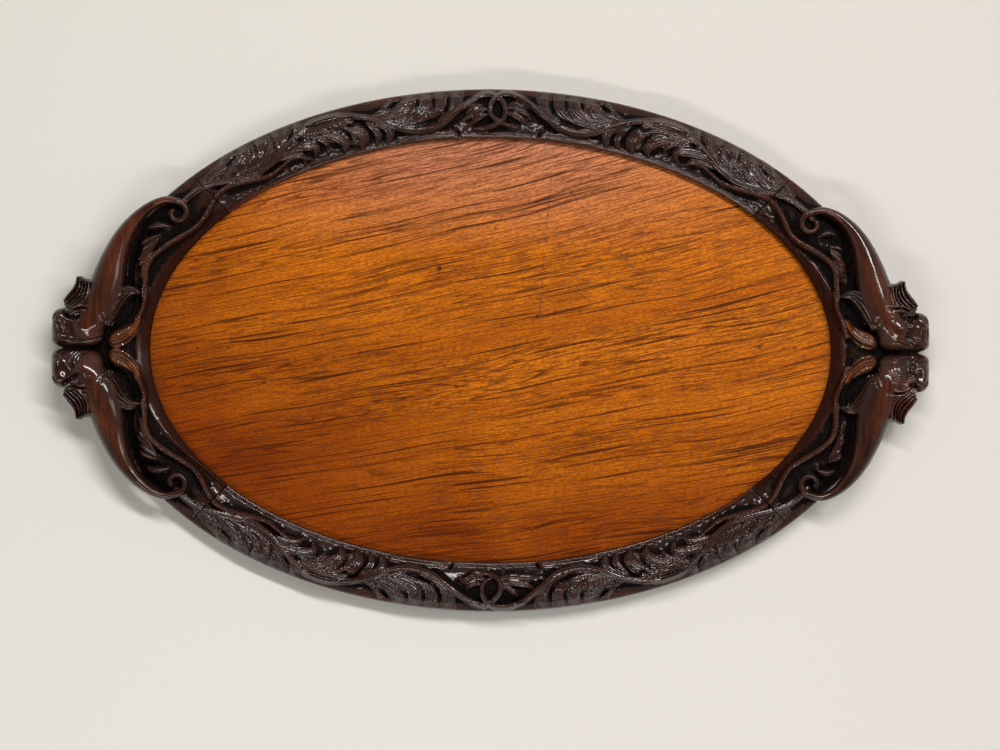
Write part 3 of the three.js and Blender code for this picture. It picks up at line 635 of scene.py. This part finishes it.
class Corner:
    """One quadrant of an end block: joins forms of its figures to the wood, mirrored into place."""

    def __init__(self, blank, field, sx, sy):
        self.blank, self.field, self.sx, self.sy = blank, field, sx, sy
        self.own_side = 0.55 - blank.plan_y * sy

    def folded(self, points):
        p = np.asarray(points, float)
        return np.column_stack([p[:, 0] * self.sx, p[:, 1] * self.sy, p[:, 2:]])

    def join(self, w, form, soft, polish, inside):
        self.field[w] = smooth_lower(self.field[w], form, soft)
        self.blank.polish[w] = np.maximum(self.blank.polish[w], polish * np.clip(inside, 0, 1))

    def tube(self, points, soft, steps=8, polish=0.0):
        """Joins an oval tube along [x, y, z, half width, half height]."""
        run = flowing(self.folded(points), steps)
        w, d, where = self.blank.beside(run, run[:, 3].max() + 4)
        middle, wide, high = [np.interp(where, np.arange(len(run)), run[:, k])[..., None] for k in (2, 3, 4)]
        r = np.sqrt((d[..., None] / wide) ** 2 + ((self.blank.z - middle) / high) ** 2)
        inside = np.clip(1.15 - np.abs(d) / wide[..., 0], 0, 1) * 4
        self.join(w, (r - 1) * np.minimum(wide, high), soft, polish, inside)

    def masses(self, forms, soft, polish):
        """Joins rounded masses, each [x, y, z, three radii, turn in degrees], kept to this side of the tray."""
        for x, y, z, rx, ry, rz, degrees in forms:
            centre, turn = (x * self.sx, y * self.sy), radians(degrees) * self.sx * self.sy
            w = self.blank.window(np.array([centre, centre]), max(rx, ry) + 4)
            x, y = self.blank.plan_x[w] - centre[0], self.blank.plan_y[w] - centre[1]
            c, s = cos(turn), sin(turn)
            flat = ((x * c + y * s) / rx) ** 2 + ((y * c - x * s) / ry) ** 2
            form = (np.sqrt(flat[..., None] + ((self.blank.z - z) / rz) ** 2) - 1) * min(rx, ry, rz)
            form = -smooth_lower(-form, -self.own_side[w][..., None] * np.ones_like(form), 3.0)
            self.join(w, form, soft, polish, (1.1 - np.sqrt(flat)) * 4)

    def plate(self, outline, middle, high, low, edge, soft, polish=0.0, cut_at_axis=False):
        """Joins a flat form with rounded edges: its outline, the middle of its height, its reach up and down."""
        outline = self.folded(outline)
        run = flowing(np.vstack([outline, outline[:1]]), 5)
        w, d, _ = self.blank.beside(run, 5)
        x, y = self.blank.plan_x[w], self.blank.plan_y[w]
        odd = np.zeros(x.shape, bool)
        for (ax, ay), (bx, by) in zip(run[:-1, :2], run[1:, :2]):
            spans = (ay > y) != (by > y)
            odd ^= spans & (x < ax + (y - ay) / (by - ay if by != ay else 1e-9) * (bx - ax))
        past = np.where(odd, -np.abs(d), np.abs(d))
        rise = self.blank.z - middle
        share = np.where(rise > 0, rise / high, rise / low)
        form = np.sqrt(np.square(np.maximum(past + edge, 0) / edge)[..., None] + share ** 2) - 1
        form = form * min(edge, high)
        if cut_at_axis:
            form = np.maximum(form, self.own_side[w][..., None])
        self.join(w, form, soft, polish, 0.5 - past)

    def groove(self, line, wide, deep):
        """Cuts a fine line of this half width and depth below the surface that is there."""
        run = flowing(self.folded([(*point, 0) for point in line]))
        w, d, where = self.blank.beside(run, wide + 2)
        fade = np.clip(np.minimum(where, len(run) - 1 - where) / 3 + 0.3, 0, 1)
        depth = deep * fade * np.clip(1 - (d / wide) ** 2, 0, 1)
        self.field[w] = np.maximum(self.field[w], np.minimum(self.field[w] + depth[..., None], 1.0))


def carve_horn(corner, drift):
    """Web behind the figures, and the horn that uncurls from its scroll and swells into a neck."""
    centre = (SCROLL_X + drift[0], SCROLL_Y + drift[1])
    corner.plate(WEB, middle=9, high=6, low=6, edge=3, soft=1.5)
    curl = []
    for i in range(SCROLL_STEPS + 1):
        part = i / SCROLL_STEPS
        turn = SCROLL_START - part * SCROLL_TURN
        radius = SCROLL_R * (0.42 + 0.58 * part ** 0.8)
        curl.append((centre[0] + radius * cos(turn), centre[1] + radius * sin(turn),
                     22.4 + 0.8 * part, 2.6 + 0.5 * part, 4.6 + 0.6 * part))
    horn = [(x + drift[0] * share, y + drift[1] * share, z, wide, high) for x, y, z, wide, high, share in HORN]
    corner.tube(curl + horn, 0.6, steps=6, polish=1.0)


def carve_head(corner, key):
    """Crest, head, snout, brows, eye and the fine cuts of this quadrant's face."""
    corner.plate(CREST, middle=17, high=9, low=9, edge=3.5, soft=1, polish=0.3)
    for line, rise in zip(CREST_LINES, CREST_RISES):
        corner.tube([(x, y, z + rise * share, wide, 3.2) for (x, y), (z, wide, share) in zip(line, CREST_STATIONS)],
                    0.2, polish=0.35)
    corner.masses(HEAD_MASSES, soft=3, polish=0.1)
    corner.plate(MUZZLE, middle=17, high=10, low=10, edge=6, soft=1.5, polish=0.2, cut_at_axis=True)
    corner.masses(NOSE_MASSES, soft=1.6, polish=0.3)
    corner.masses([CHEEK], soft=1.2, polish=0.15)
    drop = FACE_DROP[key]
    for line, wide, z in zip(BROW_LINES, (1.9, 2.3), (30.5, 30.8)):
        points = [(x, y + drop, z - 0.9 * abs(k - 2), wide, 4.4) for k, (x, y) in enumerate(line)]
        corner.tube(points, 0.5, polish=0.4)
    temples = [[(x, y + drop * (y > 30)) for x, y in line] for line in TEMPLE_CUTS]
    for lines, wide, deep in ((CREST_CUTS, 0.8, 0.7), (temples, 1, 0.9), (FACE_CUTS[key], 0.9, 0.9),
                              ([EYE_FOLDS[key]], 1.7, 2.2), ([NOSTRIL], 1.1, 1)):
        for line in lines:
            corner.groove(line, wide, deep)
    blank = corner.blank
    eye = corner.folded([EYES[key]])
    w = blank.window(eye, 5)
    away = np.hypot(blank.plan_x[w] - eye[0, 0], blank.plan_y[w] - eye[0, 1])[..., None]
    pit = np.hypot(away, (blank.z - EYE_PIT_TOP) / 3.0) - EYE_PIT_RADIUS
    ball = np.hypot(away, blank.z - EYE_HEIGHT) - EYE_RADIUS
    corner.field[w] = np.minimum(np.maximum(corner.field[w], -pit), ball)


def carve_gill_and_snake(corner, drift):
    """Ribs of the gill, the leaf spray in the bend of the horn, and the snake's head."""
    for k in (-1.5, -0.5, 0.5, 1.5):
        rib = beside_run(flowing(GILL_LINE), [k * reach for reach in GILL_SPREAD])
        share = np.linspace(0, 1, len(rib))
        wide = np.interp(share, np.linspace(0, 1, 5), GILL_WIDTHS)
        points = np.column_stack([rib[:, :2], 22.5 + 5.6 * share, wide, wide * 0 + 4.6])
        corner.tube(points, 0.1, steps=1, polish=0.3)
    for line, widths in SPRAY_LINES + [(SPRAY_BUD, (1.2, 2.4, 2.8, 1.6))]:
        points = [(x + drift[0] * share, y + drift[1] * share, 22.2, wide, high)
                  for (x, y), share, wide, high in zip(line, SPRAY_DRIFTS, widths, SPRAY_HEIGHTS)]
        corner.tube(points, 0.15, polish=0.7)
    slip = np.array((1.8 * corner.sx, 0.9 * corner.sx))
    corner.plate(np.array(SNAKE_HEAD) + slip, middle=20, high=6.4, low=6, edge=5.2, soft=0.5, polish=2.0)
    for line in SNAKE_CUTS:
        corner.groove(np.array(line) + slip, wide=1.0, deep=1.0)
    corner.tube([(x + slip[0], y + slip[1], 26.2, 1.0, 1.8) for x, y in SNAKE_RIDGE], 0.3, polish=2.0)


def punch_marks(blank):
    """Marks that a matting punch leaves on the ground between the leaves, as heights from 0 to 1."""
    random = np.random.default_rng(7)
    marks = random.random((420, 420))
    i, j = (blank.plan_x + 400) / PUNCH_PITCH, (blank.plan_y + 250) / PUNCH_PITCH
    low_i, low_j = np.floor(i).astype(int), np.floor(j).astype(int)
    di, dj = i - low_i, j - low_j
    near = marks[low_i, low_j] * (1 - di) + marks[low_i + 1, low_j] * di
    far = marks[low_i, low_j + 1] * (1 - di) + marks[low_i + 1, low_j + 1] * di
    return near * (1 - dj) + far * dj


def rim_block(name, x_range, y_range, top, outside):
    """Carves one block: outside gives, over the plan, how far past the block's cuts a point is."""
    blank = Blank(x_range, y_range, (-1.5, top))
    past_axis = 60
    quadrants = [(sx, sy) for sx in (-1, 1) for sy in (-1, 1)
                 if max(sx * x for x in x_range) > past_axis and max(sy * y for y in y_range) > past_axis]
    for sx, sy in quadrants:
        carve_foliage(blank, sx, sy)
    side_block = y_range[0] * y_range[1] > 0
    if side_block:
        carve_hooks(blank, 1 if y_range[0] > 0 else -1)
    else:
        for sx, sy in quadrants:
            deep = flowing([(x * sx, y * sy, 0) for x, y in DEEP_LINE])
            blank.ridge(deep, [4, 5, 5.5, 5.5, 5, 5, 4], [1, 2.4, 2.8, 3, 3, 3, 3], map_name="cuts")
    inner_slope = np.interp(np.abs(blank.plan_x), (235, 280), (0.0, 0.16))
    lip_band = 0.045
    hollowed = np.clip((blank.u - inner_slope - lip_band) / lip_band, 0, 1) * np.clip((0.97 - blank.u) / 0.2, 0, 1)
    near_edge = np.clip((1.03 - blank.u) / 0.2, 0, 1) * np.clip(blank.u / 0.03, 0, 1)
    blank.bare = np.clip(1 - blank.relief / 2.5, 0, 1) * hollowed
    ground = blank.ground - GROUND_CUT * hollowed + PUNCH_DEPTH * blank.bare * punch_marks(blank)
    carved = ground + (blank.relief - blank.cuts) * near_edge

    # The carved top, then the walls, the bevelled foot and the flat underside
    per_mm = np.hypot(*np.gradient(blank.u, GRIT))
    past_outer = (blank.u - 1) / per_mm
    past_inner = -blank.u / per_mm
    steep = np.sqrt(1 + np.minimum(np.sum(np.square(np.gradient(carved, GRIT)), axis=0), 6))
    z = blank.z
    field = (z - carved[..., None]) / steep[..., None]
    field = -smooth_lower(-field, -(past_outer[..., None] + 0 * z), 2.0)
    field = -smooth_lower(-field, -(past_inner[..., None] + 0 * z), 0.8)
    field = np.maximum(field, (past_outer[..., None] - z + FOOT_BEVEL) / sqrt(2))
    field = np.maximum(field, -z)
    if not side_block:
        for sx, sy in quadrants:
            corner, drift = Corner(blank, field, sx, sy), SCROLL[sx, sy]
            carve_horn(corner, drift)
            carve_head(corner, (sx, sy))
            carve_gill_and_snake(corner, drift)

    # The seat of the board, the cuts between the blocks and the bores
    seat = (blank.plan_x / (WELL_A + SEAT_REACH)) ** 2 + (blank.plan_y / (WELL_B + SEAT_REACH)) ** 2
    past_seat = (np.sqrt(seat) - 1) * WELL_B
    field = np.maximum(field, -np.maximum(past_seat[..., None], z - SEAT_HEIGHT))
    field = np.maximum(field, outside(blank.plan_x, blank.plan_y)[..., None])
    for middle, radius, low, high in bores_of(name):
        w = blank.window(np.array([middle, middle]), radius + 3)
        away = np.hypot(blank.plan_x[w] - middle[0], blank.plan_y[w] - middle[1]) - radius
        field[w] = np.maximum(field[w], -np.maximum(away[..., None], np.maximum(low - z, z - high)))
    return blank, field.astype(np.float32)


def bores_of(block):
    """Bores of the screws and of the brass eyes in one block, read from where the frame has them."""
    found = []
    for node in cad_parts:
        if node.startswith("screw_" + block[4:]) or (node.startswith("snake_eye") and block[4:] in node):
            low, high = (np.array(corner) * 1000 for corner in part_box(node))
            middle = (low[:2] + high[:2]) / 2
            if node.startswith("screw"):
                found.append((middle, SCREW_BORE, BELOW_ALL, high[2] + BORE_GAP))
            else:
                found.append((middle, PIN_BORE, low[2] - BORE_GAP, ABOVE_ALL))
    return found


def block_mesh(name, blank, field):
    far = 3.0
    grid = openvdb.FloatGrid(background=far)
    field = np.clip(field, -far, far)
    for faces in (field, field.swapaxes(0, 1), field.swapaxes(0, 2)):
        faces[0], faces[-1] = far, far
    grid.copyFromArray(np.ascontiguousarray(field))
    points, triangles, quads = grid.convertToPolygons(isovalue=0.0, adaptivity=0.02)
    spots = points * GRIT + (blank.x[0], blank.y[0], blank.z[0])
    mesh = bpy.data.meshes.new(name)
    mesh.vertices.add(len(spots))
    mesh.vertices.foreach_set("co", (spots * 0.001).astype(np.float32).ravel())
    corners = np.concatenate([triangles.ravel(), quads.ravel()]).astype(np.int32)
    counts = np.concatenate([np.full(len(triangles), 3), np.full(len(quads), 4)])
    starts = np.concatenate([[0], np.cumsum(counts)[:-1]]).astype(np.int32)
    mesh.loops.add(len(corners))
    mesh.loops.foreach_set("vertex_index", corners)
    mesh.polygons.add(len(starts))
    mesh.polygons.foreach_set("loop_start", starts)
    mesh.update(calc_edges=True)
    mesh.validate()
    mesh.shade_smooth()
    solid = field < 0
    top = np.where(solid.any(2), blank.z[len(blank.z) - 1 - solid[:, :, ::-1].argmax(2)], 0)
    hollow = softened(top, 2.2) - top
    deep = softened(top, 7.0) - top
    i = np.clip(np.round((spots[:, 0] - blank.x[0]) / GRIT).astype(int), 0, len(blank.x) - 1)
    j = np.clip(np.round((spots[:, 1] - blank.y[0]) / GRIT).astype(int), 0, len(blank.y) - 1)
    upper = np.clip((spots[:, 2] - top[i, j] + 4) / 3, 0, 1)
    polish = softened(blank.polish, GRIT)[i, j]
    # recess is how far each point lies below the wood around it; the rim material paints shade from it
    maps = {
        "recess": np.clip(0.5 + 0.35 * softened(hollow, GRIT)[i, j] + 0.075 * deep[i, j], 0, 1) * upper
        + 0.5 * (1 - upper),
        "polish": np.clip(polish, 0, 1) * upper,
        "comb": blank.comb[i, j],
        "combed": blank.combed[i, j] * upper,
        "scales": blank.scales[i, j] * upper,
        "bare": blank.bare[i, j] * upper,
        "snake": np.clip(polish - 1, 0, 1) * upper,
        "across": blank.u[i, j],
    }
    for label, values in maps.items():
        layer = mesh.attributes.new(label, "FLOAT", "POINT")
        layer.data.foreach_set("value", values.astype(np.float32))
    return mesh


def rim_material(name, along_x):
    """Dark polished hardwood, red-brown where hands have worn it, with painted shade that turns the hollows near
    black.
    """
    material, shader, place = finish(name)
    recess, polish, scales, across, comb, combed, bare, snake = [
        place.node("ShaderNodeAttribute", {"attribute_name": label}, {}, 2)
        for label in ("recess", "polish", "scales", "across", "comb", "combed", "bare", "snake")]

    def fibres(scale, finer):
        return place.stretched(*(scale * k for k in ((1, finer, finer) if along_x else (finer, 1, finer))))

    streaks = fibres(22, 14).noise(1.0, 3.0, 0.6, 0.5)
    pores = fibres(75, 14).noise(1.0, 2.0, 0.6)
    patches = place.noise(28, 3.0, 0.6)
    figure = fibres(7, 5).noise(1.0, 3.0, 0.6, 1.6)
    recess = recess - polish * 0.20
    raised = recess.between(0.60, 0.25)
    outer = across.between(0.72, 1.0) * patches.between(0.45, 0.7)
    # The worn red-brown of the end blocks fades towards the front, so their front halves are darker
    if not along_x:
        polish = polish * place.apart()[1].between(-0.09, -0.01, 0.3, 1.0)
    wear = (raised * 0.45 + polish * 0.7 + outer * 0.3 + scales * 0.1) * patches.between(0.2, 0.65, 0.45, 1.0)
    brown = streaks.between(0.3, 0.7).blend((0.019, 0.0048, 0.0024), (0.076, 0.0190, 0.0086))
    red = (figure * 0.6 + streaks * 0.4).between(0.38, 0.62).blend((0.044, 0.0095, 0.0042), (0.185, 0.043, 0.0120))
    colour = wear.between(0.25, 1.15).blend(brown, red)
    colour = (snake.between(0.3, 1.0) * patches.between(0.3, 0.6, 0.5, 1.0)).blend(colour, (0.30, 0.078, 0.018))
    colour = (pores.between(0.56, 0.70) * 0.7).blend(colour, (0.007, 0.003, 0.002))
    colour = (bare * 0.6).blend(colour, (0.014, 0.0085, 0.0070))
    # Painted shade: the steeper a face, the darker it is painted
    facing_up = place.node("ShaderNodeNewGeometry", output=1).apart()[2]
    colour = (facing_up.between(0.92, 0.45) * 0.62).blend(colour, (0.010, 0.0036, 0.0022))
    # Painted shade: the hollows and the grooves between the ribs are darkened to near black, and the hollows lose
    # most of their gloss
    hollow = recess.between(0.52, 0.72)
    rib_phase = place.maths("COSINE", comb * (2 * pi))
    rib_groove_shade = rib_phase.between(-0.1, 0.8) * combed.between(0.6, 0.95)
    dark = hollow + rib_groove_shade * 0.85
    colour = dark.blend(colour, (0.0042, 0.0027, 0.0022))
    gloss = (1.0 - hollow * 0.80 - bare * 0.35).clipped()
    if not along_x:
        inner = across.between(0.20, 0.12)
        colour = (inner * 0.8).blend(colour, (0.022, 0.0045, 0.0014))
        gloss = gloss * (1.0 - inner * 0.92)
        face = across.between(0.85, 1.15) * patches.between(0.62, 0.40, 0.35, 0.75)
        colour = face.blend(colour, (0.016, 0.0050, 0.0032))
    facets = place.noise(420, 2.0, 0.6) * (1.2 - polish * 0.7)
    height = streaks * 0.8 + pores * 0.5 + facets
    bump = place.node("ShaderNodeBump", {}, {"Strength": 1.0, "Distance": 0.0010, "Height": height})
    feed(shader, Base_Color=colour, Roughness=0.5, Specular_IOR_Level=0.06, Coat_Weight=gloss, Coat_Roughness=0.14,
         Coat_IOR=1.55, Normal=bump)
    return material


def past_side_cut(sign):
    return lambda x, y: (np.abs(x) - sign * y - JOINT) / sqrt(2) + JOINT_GAP / 2


def past_end_cut(sign):
    return lambda x, y: (JOINT + np.abs(y) - sign * x) / sqrt(2) + JOINT_GAP / 2


side_material = rim_material("rim_wood_sides", True)
end_material = rim_material("rim_wood_ends", False)
BLOCKS = [
    ("rim_back", (-252, 252), (108, 222), 34, past_side_cut(1), side_material),
    ("rim_front", (-252, 252), (-222, -108), 34, past_side_cut(-1), side_material),
    ("rim_right", (212, 363), (-147, 147), 40, past_end_cut(1), end_material),
    ("rim_left", (-363, -212), (-147, 147), 40, past_end_cut(-1), end_material),
]
for name, x_range, y_range, top, outside, material in BLOCKS:
    blank, field = rim_block(name, x_range, y_range, top, outside)
    mesh = block_mesh(name + "_carved", blank, field)
    mesh.materials.append(material)
    piece = add_object(name + "_carved", mesh)
    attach(piece, "root")
    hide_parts(name)


# Snakes' eyes: eight brass pins with worn, rounded heads, two to a snake, driven into holes in
# the snake heads. They stand just proud of the wood.

def turned_pieces(name, nodes, sizes, rows, sides, slotted, material):
    """Round metal pieces that stand for these nodes: one turned shape, set down at each node's foot."""
    tree = bpy.data.node_groups.new(name, "GeometryNodeTree")
    tree.interface.new_socket(name="Places", in_out="INPUT", socket_type="NodeSocketGeometry")
    inputs = {label: (value * 0.001, "NodeSocketFloat") for label, value in sizes.items()}
    inputs["Rows"] = (rows, "NodeSocketInt")
    inputs["Sides"] = (sides, "NodeSocketInt")
    inputs["Slotted"] = (slotted, "NodeSocketBool")
    inputs["Finish"] = (material, "NodeSocketMaterial")
    keys = {}
    for label, (value, kind) in inputs.items():
        keys[tree.interface.new_socket(name=label, in_out="INPUT", socket_type=kind).identifier] = value
    tree.interface.new_socket(name="Pieces", in_out="OUTPUT", socket_type="NodeSocketGeometry")
    given = {socket.name: Shade(tree, socket) for socket in tree.nodes.new("NodeGroupInput").outputs if socket.name}
    places, head, shank, length = given["Places"], given["Head radius"], given["Shank radius"], given["Length"]

    line = {"Direction": (0, 0, 1), "Length": length}
    line = places.node("GeometryNodeCurvePrimitiveLine", {"mode": "DIRECTION"}, line)
    line = line.node("GeometryNodeResampleCurve", {}, {"Curve": line, "Count": given["Rows"]})
    rise = line.node("GeometryNodeSplineParameter", output=1)
    cone = head - (head - shank) * (rise / given["Head depth"])
    to_tip = ((rise - length + given["Tip length"]) / given["Tip length"]).clipped()
    least = 0.0004
    rounded = shank * (1.0 - to_tip * to_tip + least) ** 0.5
    radius = cone.maths("MAXIMUM", cone, shank)
    radius = radius.maths("MINIMUM", radius, rounded)
    ring = line.node("GeometryNodeCurvePrimitiveCircle", {}, {"Resolution": given["Sides"], "Radius": 1.0})
    shape = {"Curve": line, "Profile Curve": ring, "Scale": radius, "Fill Caps": True}
    body = line.node("GeometryNodeCurveToMesh", {}, shape)

    x, y, z = body.node("GeometryNodeInputPosition").apart()
    turn = x.maths("ARCTAN2", y, x) * (0.5 / pi)
    phase = x.maths("FRACT", z / given["Thread pitch"] - turn + 1.0)
    cut = x.maths("ABSOLUTE", phase - 0.5) * 2.0 * ((z - given["Head depth"]) / given["Thread pitch"] - 1.0).clipped()
    left = 1.0 - cut * (given["Thread depth"] / shank)
    moved = body.node("ShaderNodeCombineXYZ", {}, {0: x * left, 1: y * left, 2: z})
    body = body.node("GeometryNodeSetPosition", {}, {"Geometry": body, "Position": moved})
    size = {0: head * 4.0, 1: given["Slot width"], 2: given["Slot depth"] * 2.0}
    size = body.node("ShaderNodeCombineXYZ", {}, size)
    blade = body.node("GeometryNodeMeshCube", {}, {"Size": size})
    cutting = {"operation": "DIFFERENCE", "solver": "EXACT"}
    slit = body.node("GeometryNodeMeshBoolean", cutting, {"Mesh 1": body, "Mesh 2": blade})
    choice = {"Switch": given["Slotted"], "False": body, "True": slit}
    body = body.node("GeometryNodeSwitch", {"input_type": "GEOMETRY"}, choice)

    any_turn = {0: (0, 0, 0), 1: (0, 0, 6.28), "Seed": 3}
    spin = body.node("FunctionNodeRandomValue", {"data_type": "FLOAT_VECTOR"}, any_turn)
    pieces = body.node("GeometryNodeInstanceOnPoints", {}, {"Points": places, "Instance": body, "Rotation": spin})
    pieces = pieces.node("GeometryNodeRealizeInstances", {}, {"Geometry": pieces})
    pieces = pieces.node("GeometryNodeSetMaterial", {}, {"Geometry": pieces, "Material": given["Finish"]})
    tree.links.new(pieces.socket, tree.nodes.new("NodeGroupOutput").inputs["Pieces"])

    feet = bpy.data.meshes.new(name + "_places")
    boxes = [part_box(node) for node in nodes]
    feet.from_pydata([((low[0] + high[0]) / 2, (low[1] + high[1]) / 2, low[2]) for low, high in boxes], [], [])
    piece = add_object(name, feet)
    setting = piece.modifiers.new("turning", "NODES")
    setting.node_group = tree
    for key, value in keys.items():
        setting[key] = value
    made = bpy.data.meshes.new_from_object(piece.evaluated_get(bpy.context.evaluated_depsgraph_get()))
    piece.modifiers.clear()
    piece.data = made
    made.shade_smooth()
    made.set_sharp_from_angle(angle=radians(50))
    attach(piece, "root")
    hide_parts(*nodes)


eye_brass, brass_shader, place = finish("eye_brass")
tarnish = place.noise(900, 2.0)
feed(brass_shader, Base_Color=tarnish.between(0.3, 0.7).blend((0.88, 0.72, 0.44), (0.72, 0.52, 0.26)), Metallic=1.0,
     Roughness=tarnish * 0.2 + 0.22)
pins = sorted(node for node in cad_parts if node.startswith("snake_eye"))
pin_sizes = {
    "Head radius": 1.1, "Shank radius": 1.1, "Length": 6.0, "Head depth": 1.0, "Tip length": 1.0,
    "Thread pitch": 1.0, "Thread depth": 0.0, "Slot width": 0.3, "Slot depth": 0.1,
}
turned_pieces("snake_eye_pins", pins, pin_sizes, 14, 14, slotted=False, material=eye_brass)


# Screws: twelve slotted countersunk steel wood screws, driven from beneath through the edge of
# the board into the rim, each turned to where it bit.

screw_steel, steel_shader, place = finish("screw_steel")
rust = place.noise(420, 3.0)
feed(steel_shader, Base_Color=rust.between(0.45, 0.7).blend((0.42, 0.40, 0.37), (0.16, 0.08, 0.04)), Metallic=0.9,
     Roughness=rust * 0.35 + 0.25)
screws = sorted(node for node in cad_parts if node.startswith("screw"))
low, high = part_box(screws[0])
screw_sizes = {
    "Head radius": 4.0, "Shank radius": 2.0, "Length": (high[2] - low[2]) * 1000, "Head depth": 2.6,
    "Tip length": 3.6, "Thread pitch": 1.8, "Thread depth": 0.5, "Slot width": 1.1, "Slot depth": 1.2,
}
turned_pieces("board_screws", screws, screw_sizes, 64, 18, slotted=True, material=screw_steel)


# Setting: a pale floor, a long soft lamp beyond the back of the tray with two weaker ones at its
# right and front, a dim room, and the camera above.

floor_paint, floor_shader, place = finish("floor_paint")
along, across, _ = place.apart()
# Painted light: the floor is lighter towards the front and the left and darker towards the back and the right
nearer = across.between(0.28, -0.36)
on_left = nearer.blend((0.85, 0.825, 0.75), (1.0, 0.98, 0.935))
on_right = nearer.blend((0.745, 0.71, 0.655), (0.905, 0.87, 0.835))
to_right = along.between(-0.41, 0.41)
feed(floor_shader, Base_Color=to_right.blend(on_left, on_right), Roughness=0.9)
floor_mesh = bpy.data.meshes.new("floor")
reach = 12.0
corners = [(-reach, -reach, 0), (reach, -reach, 0), (reach, reach, 0), (-reach, reach, 0)]
floor_mesh.from_pydata(corners, [], [(0, 1, 2, 3)])
floor_mesh.materials.append(floor_paint)
floor = add_object("floor", floor_mesh)
floor.location.z = -0.0005


def soft_lamp(name, place, size, power, colour):
    """A rectangular lamp that faces the middle of the tray."""
    lamp = bpy.data.lights.new(name, "AREA")
    lamp.shape = "RECTANGLE"
    lamp.size, lamp.size_y = size
    lamp.energy = power
    lamp.color = colour
    holder = add_object(name, lamp)
    holder.location = place
    holder.rotation_euler = (-Vector(place)).to_track_quat("-Z", "Y").to_euler()


soft_lamp("window_light", (0.45, 1.1, 1.75), size=(1.9, 0.20), power=34.5, colour=(1.0, 0.98, 0.96))
soft_lamp("side_light", (1.5, 0.2, 1.6), size=(0.3, 1.0), power=3.3, colour=(1.0, 0.98, 0.96))
soft_lamp("room_light", (-0.3, -1.6, 1.7), size=(2.0, 0.14), power=15.5, colour=(1.0, 0.97, 0.93))

world = bpy.data.worlds.new("room")
bpy.context.scene.world = world
world.use_nodes = True
tree = world.node_tree
background = tree.nodes["Background"]
way = Shade(tree, tree.nodes.new("ShaderNodeTexCoord").outputs["Generated"])
dim_ceiling = way.apart()[2].between(0.20, 0.85)
tree.links.new(dim_ceiling.blend((0.36, 0.353, 0.343), (0.03, 0.029, 0.028)).socket, background.inputs["Color"])

camera_data = bpy.data.cameras.new("camera")
camera = add_object("camera", camera_data)
camera_data.sensor_width = 36
camera_distance, level_in_focus, frame_width = 2.2, 0.016, 0.824
camera_data.lens = camera_data.sensor_width * camera_distance / frame_width
camera_data.clip_end = 60
camera.location = (0.008, -0.0203, level_in_focus + camera_distance)
camera.rotation_euler = (0, 0, radians(0.35))
bpy.context.scene.camera = camera
bpy.context.scene.view_settings.view_transform = "Standard"
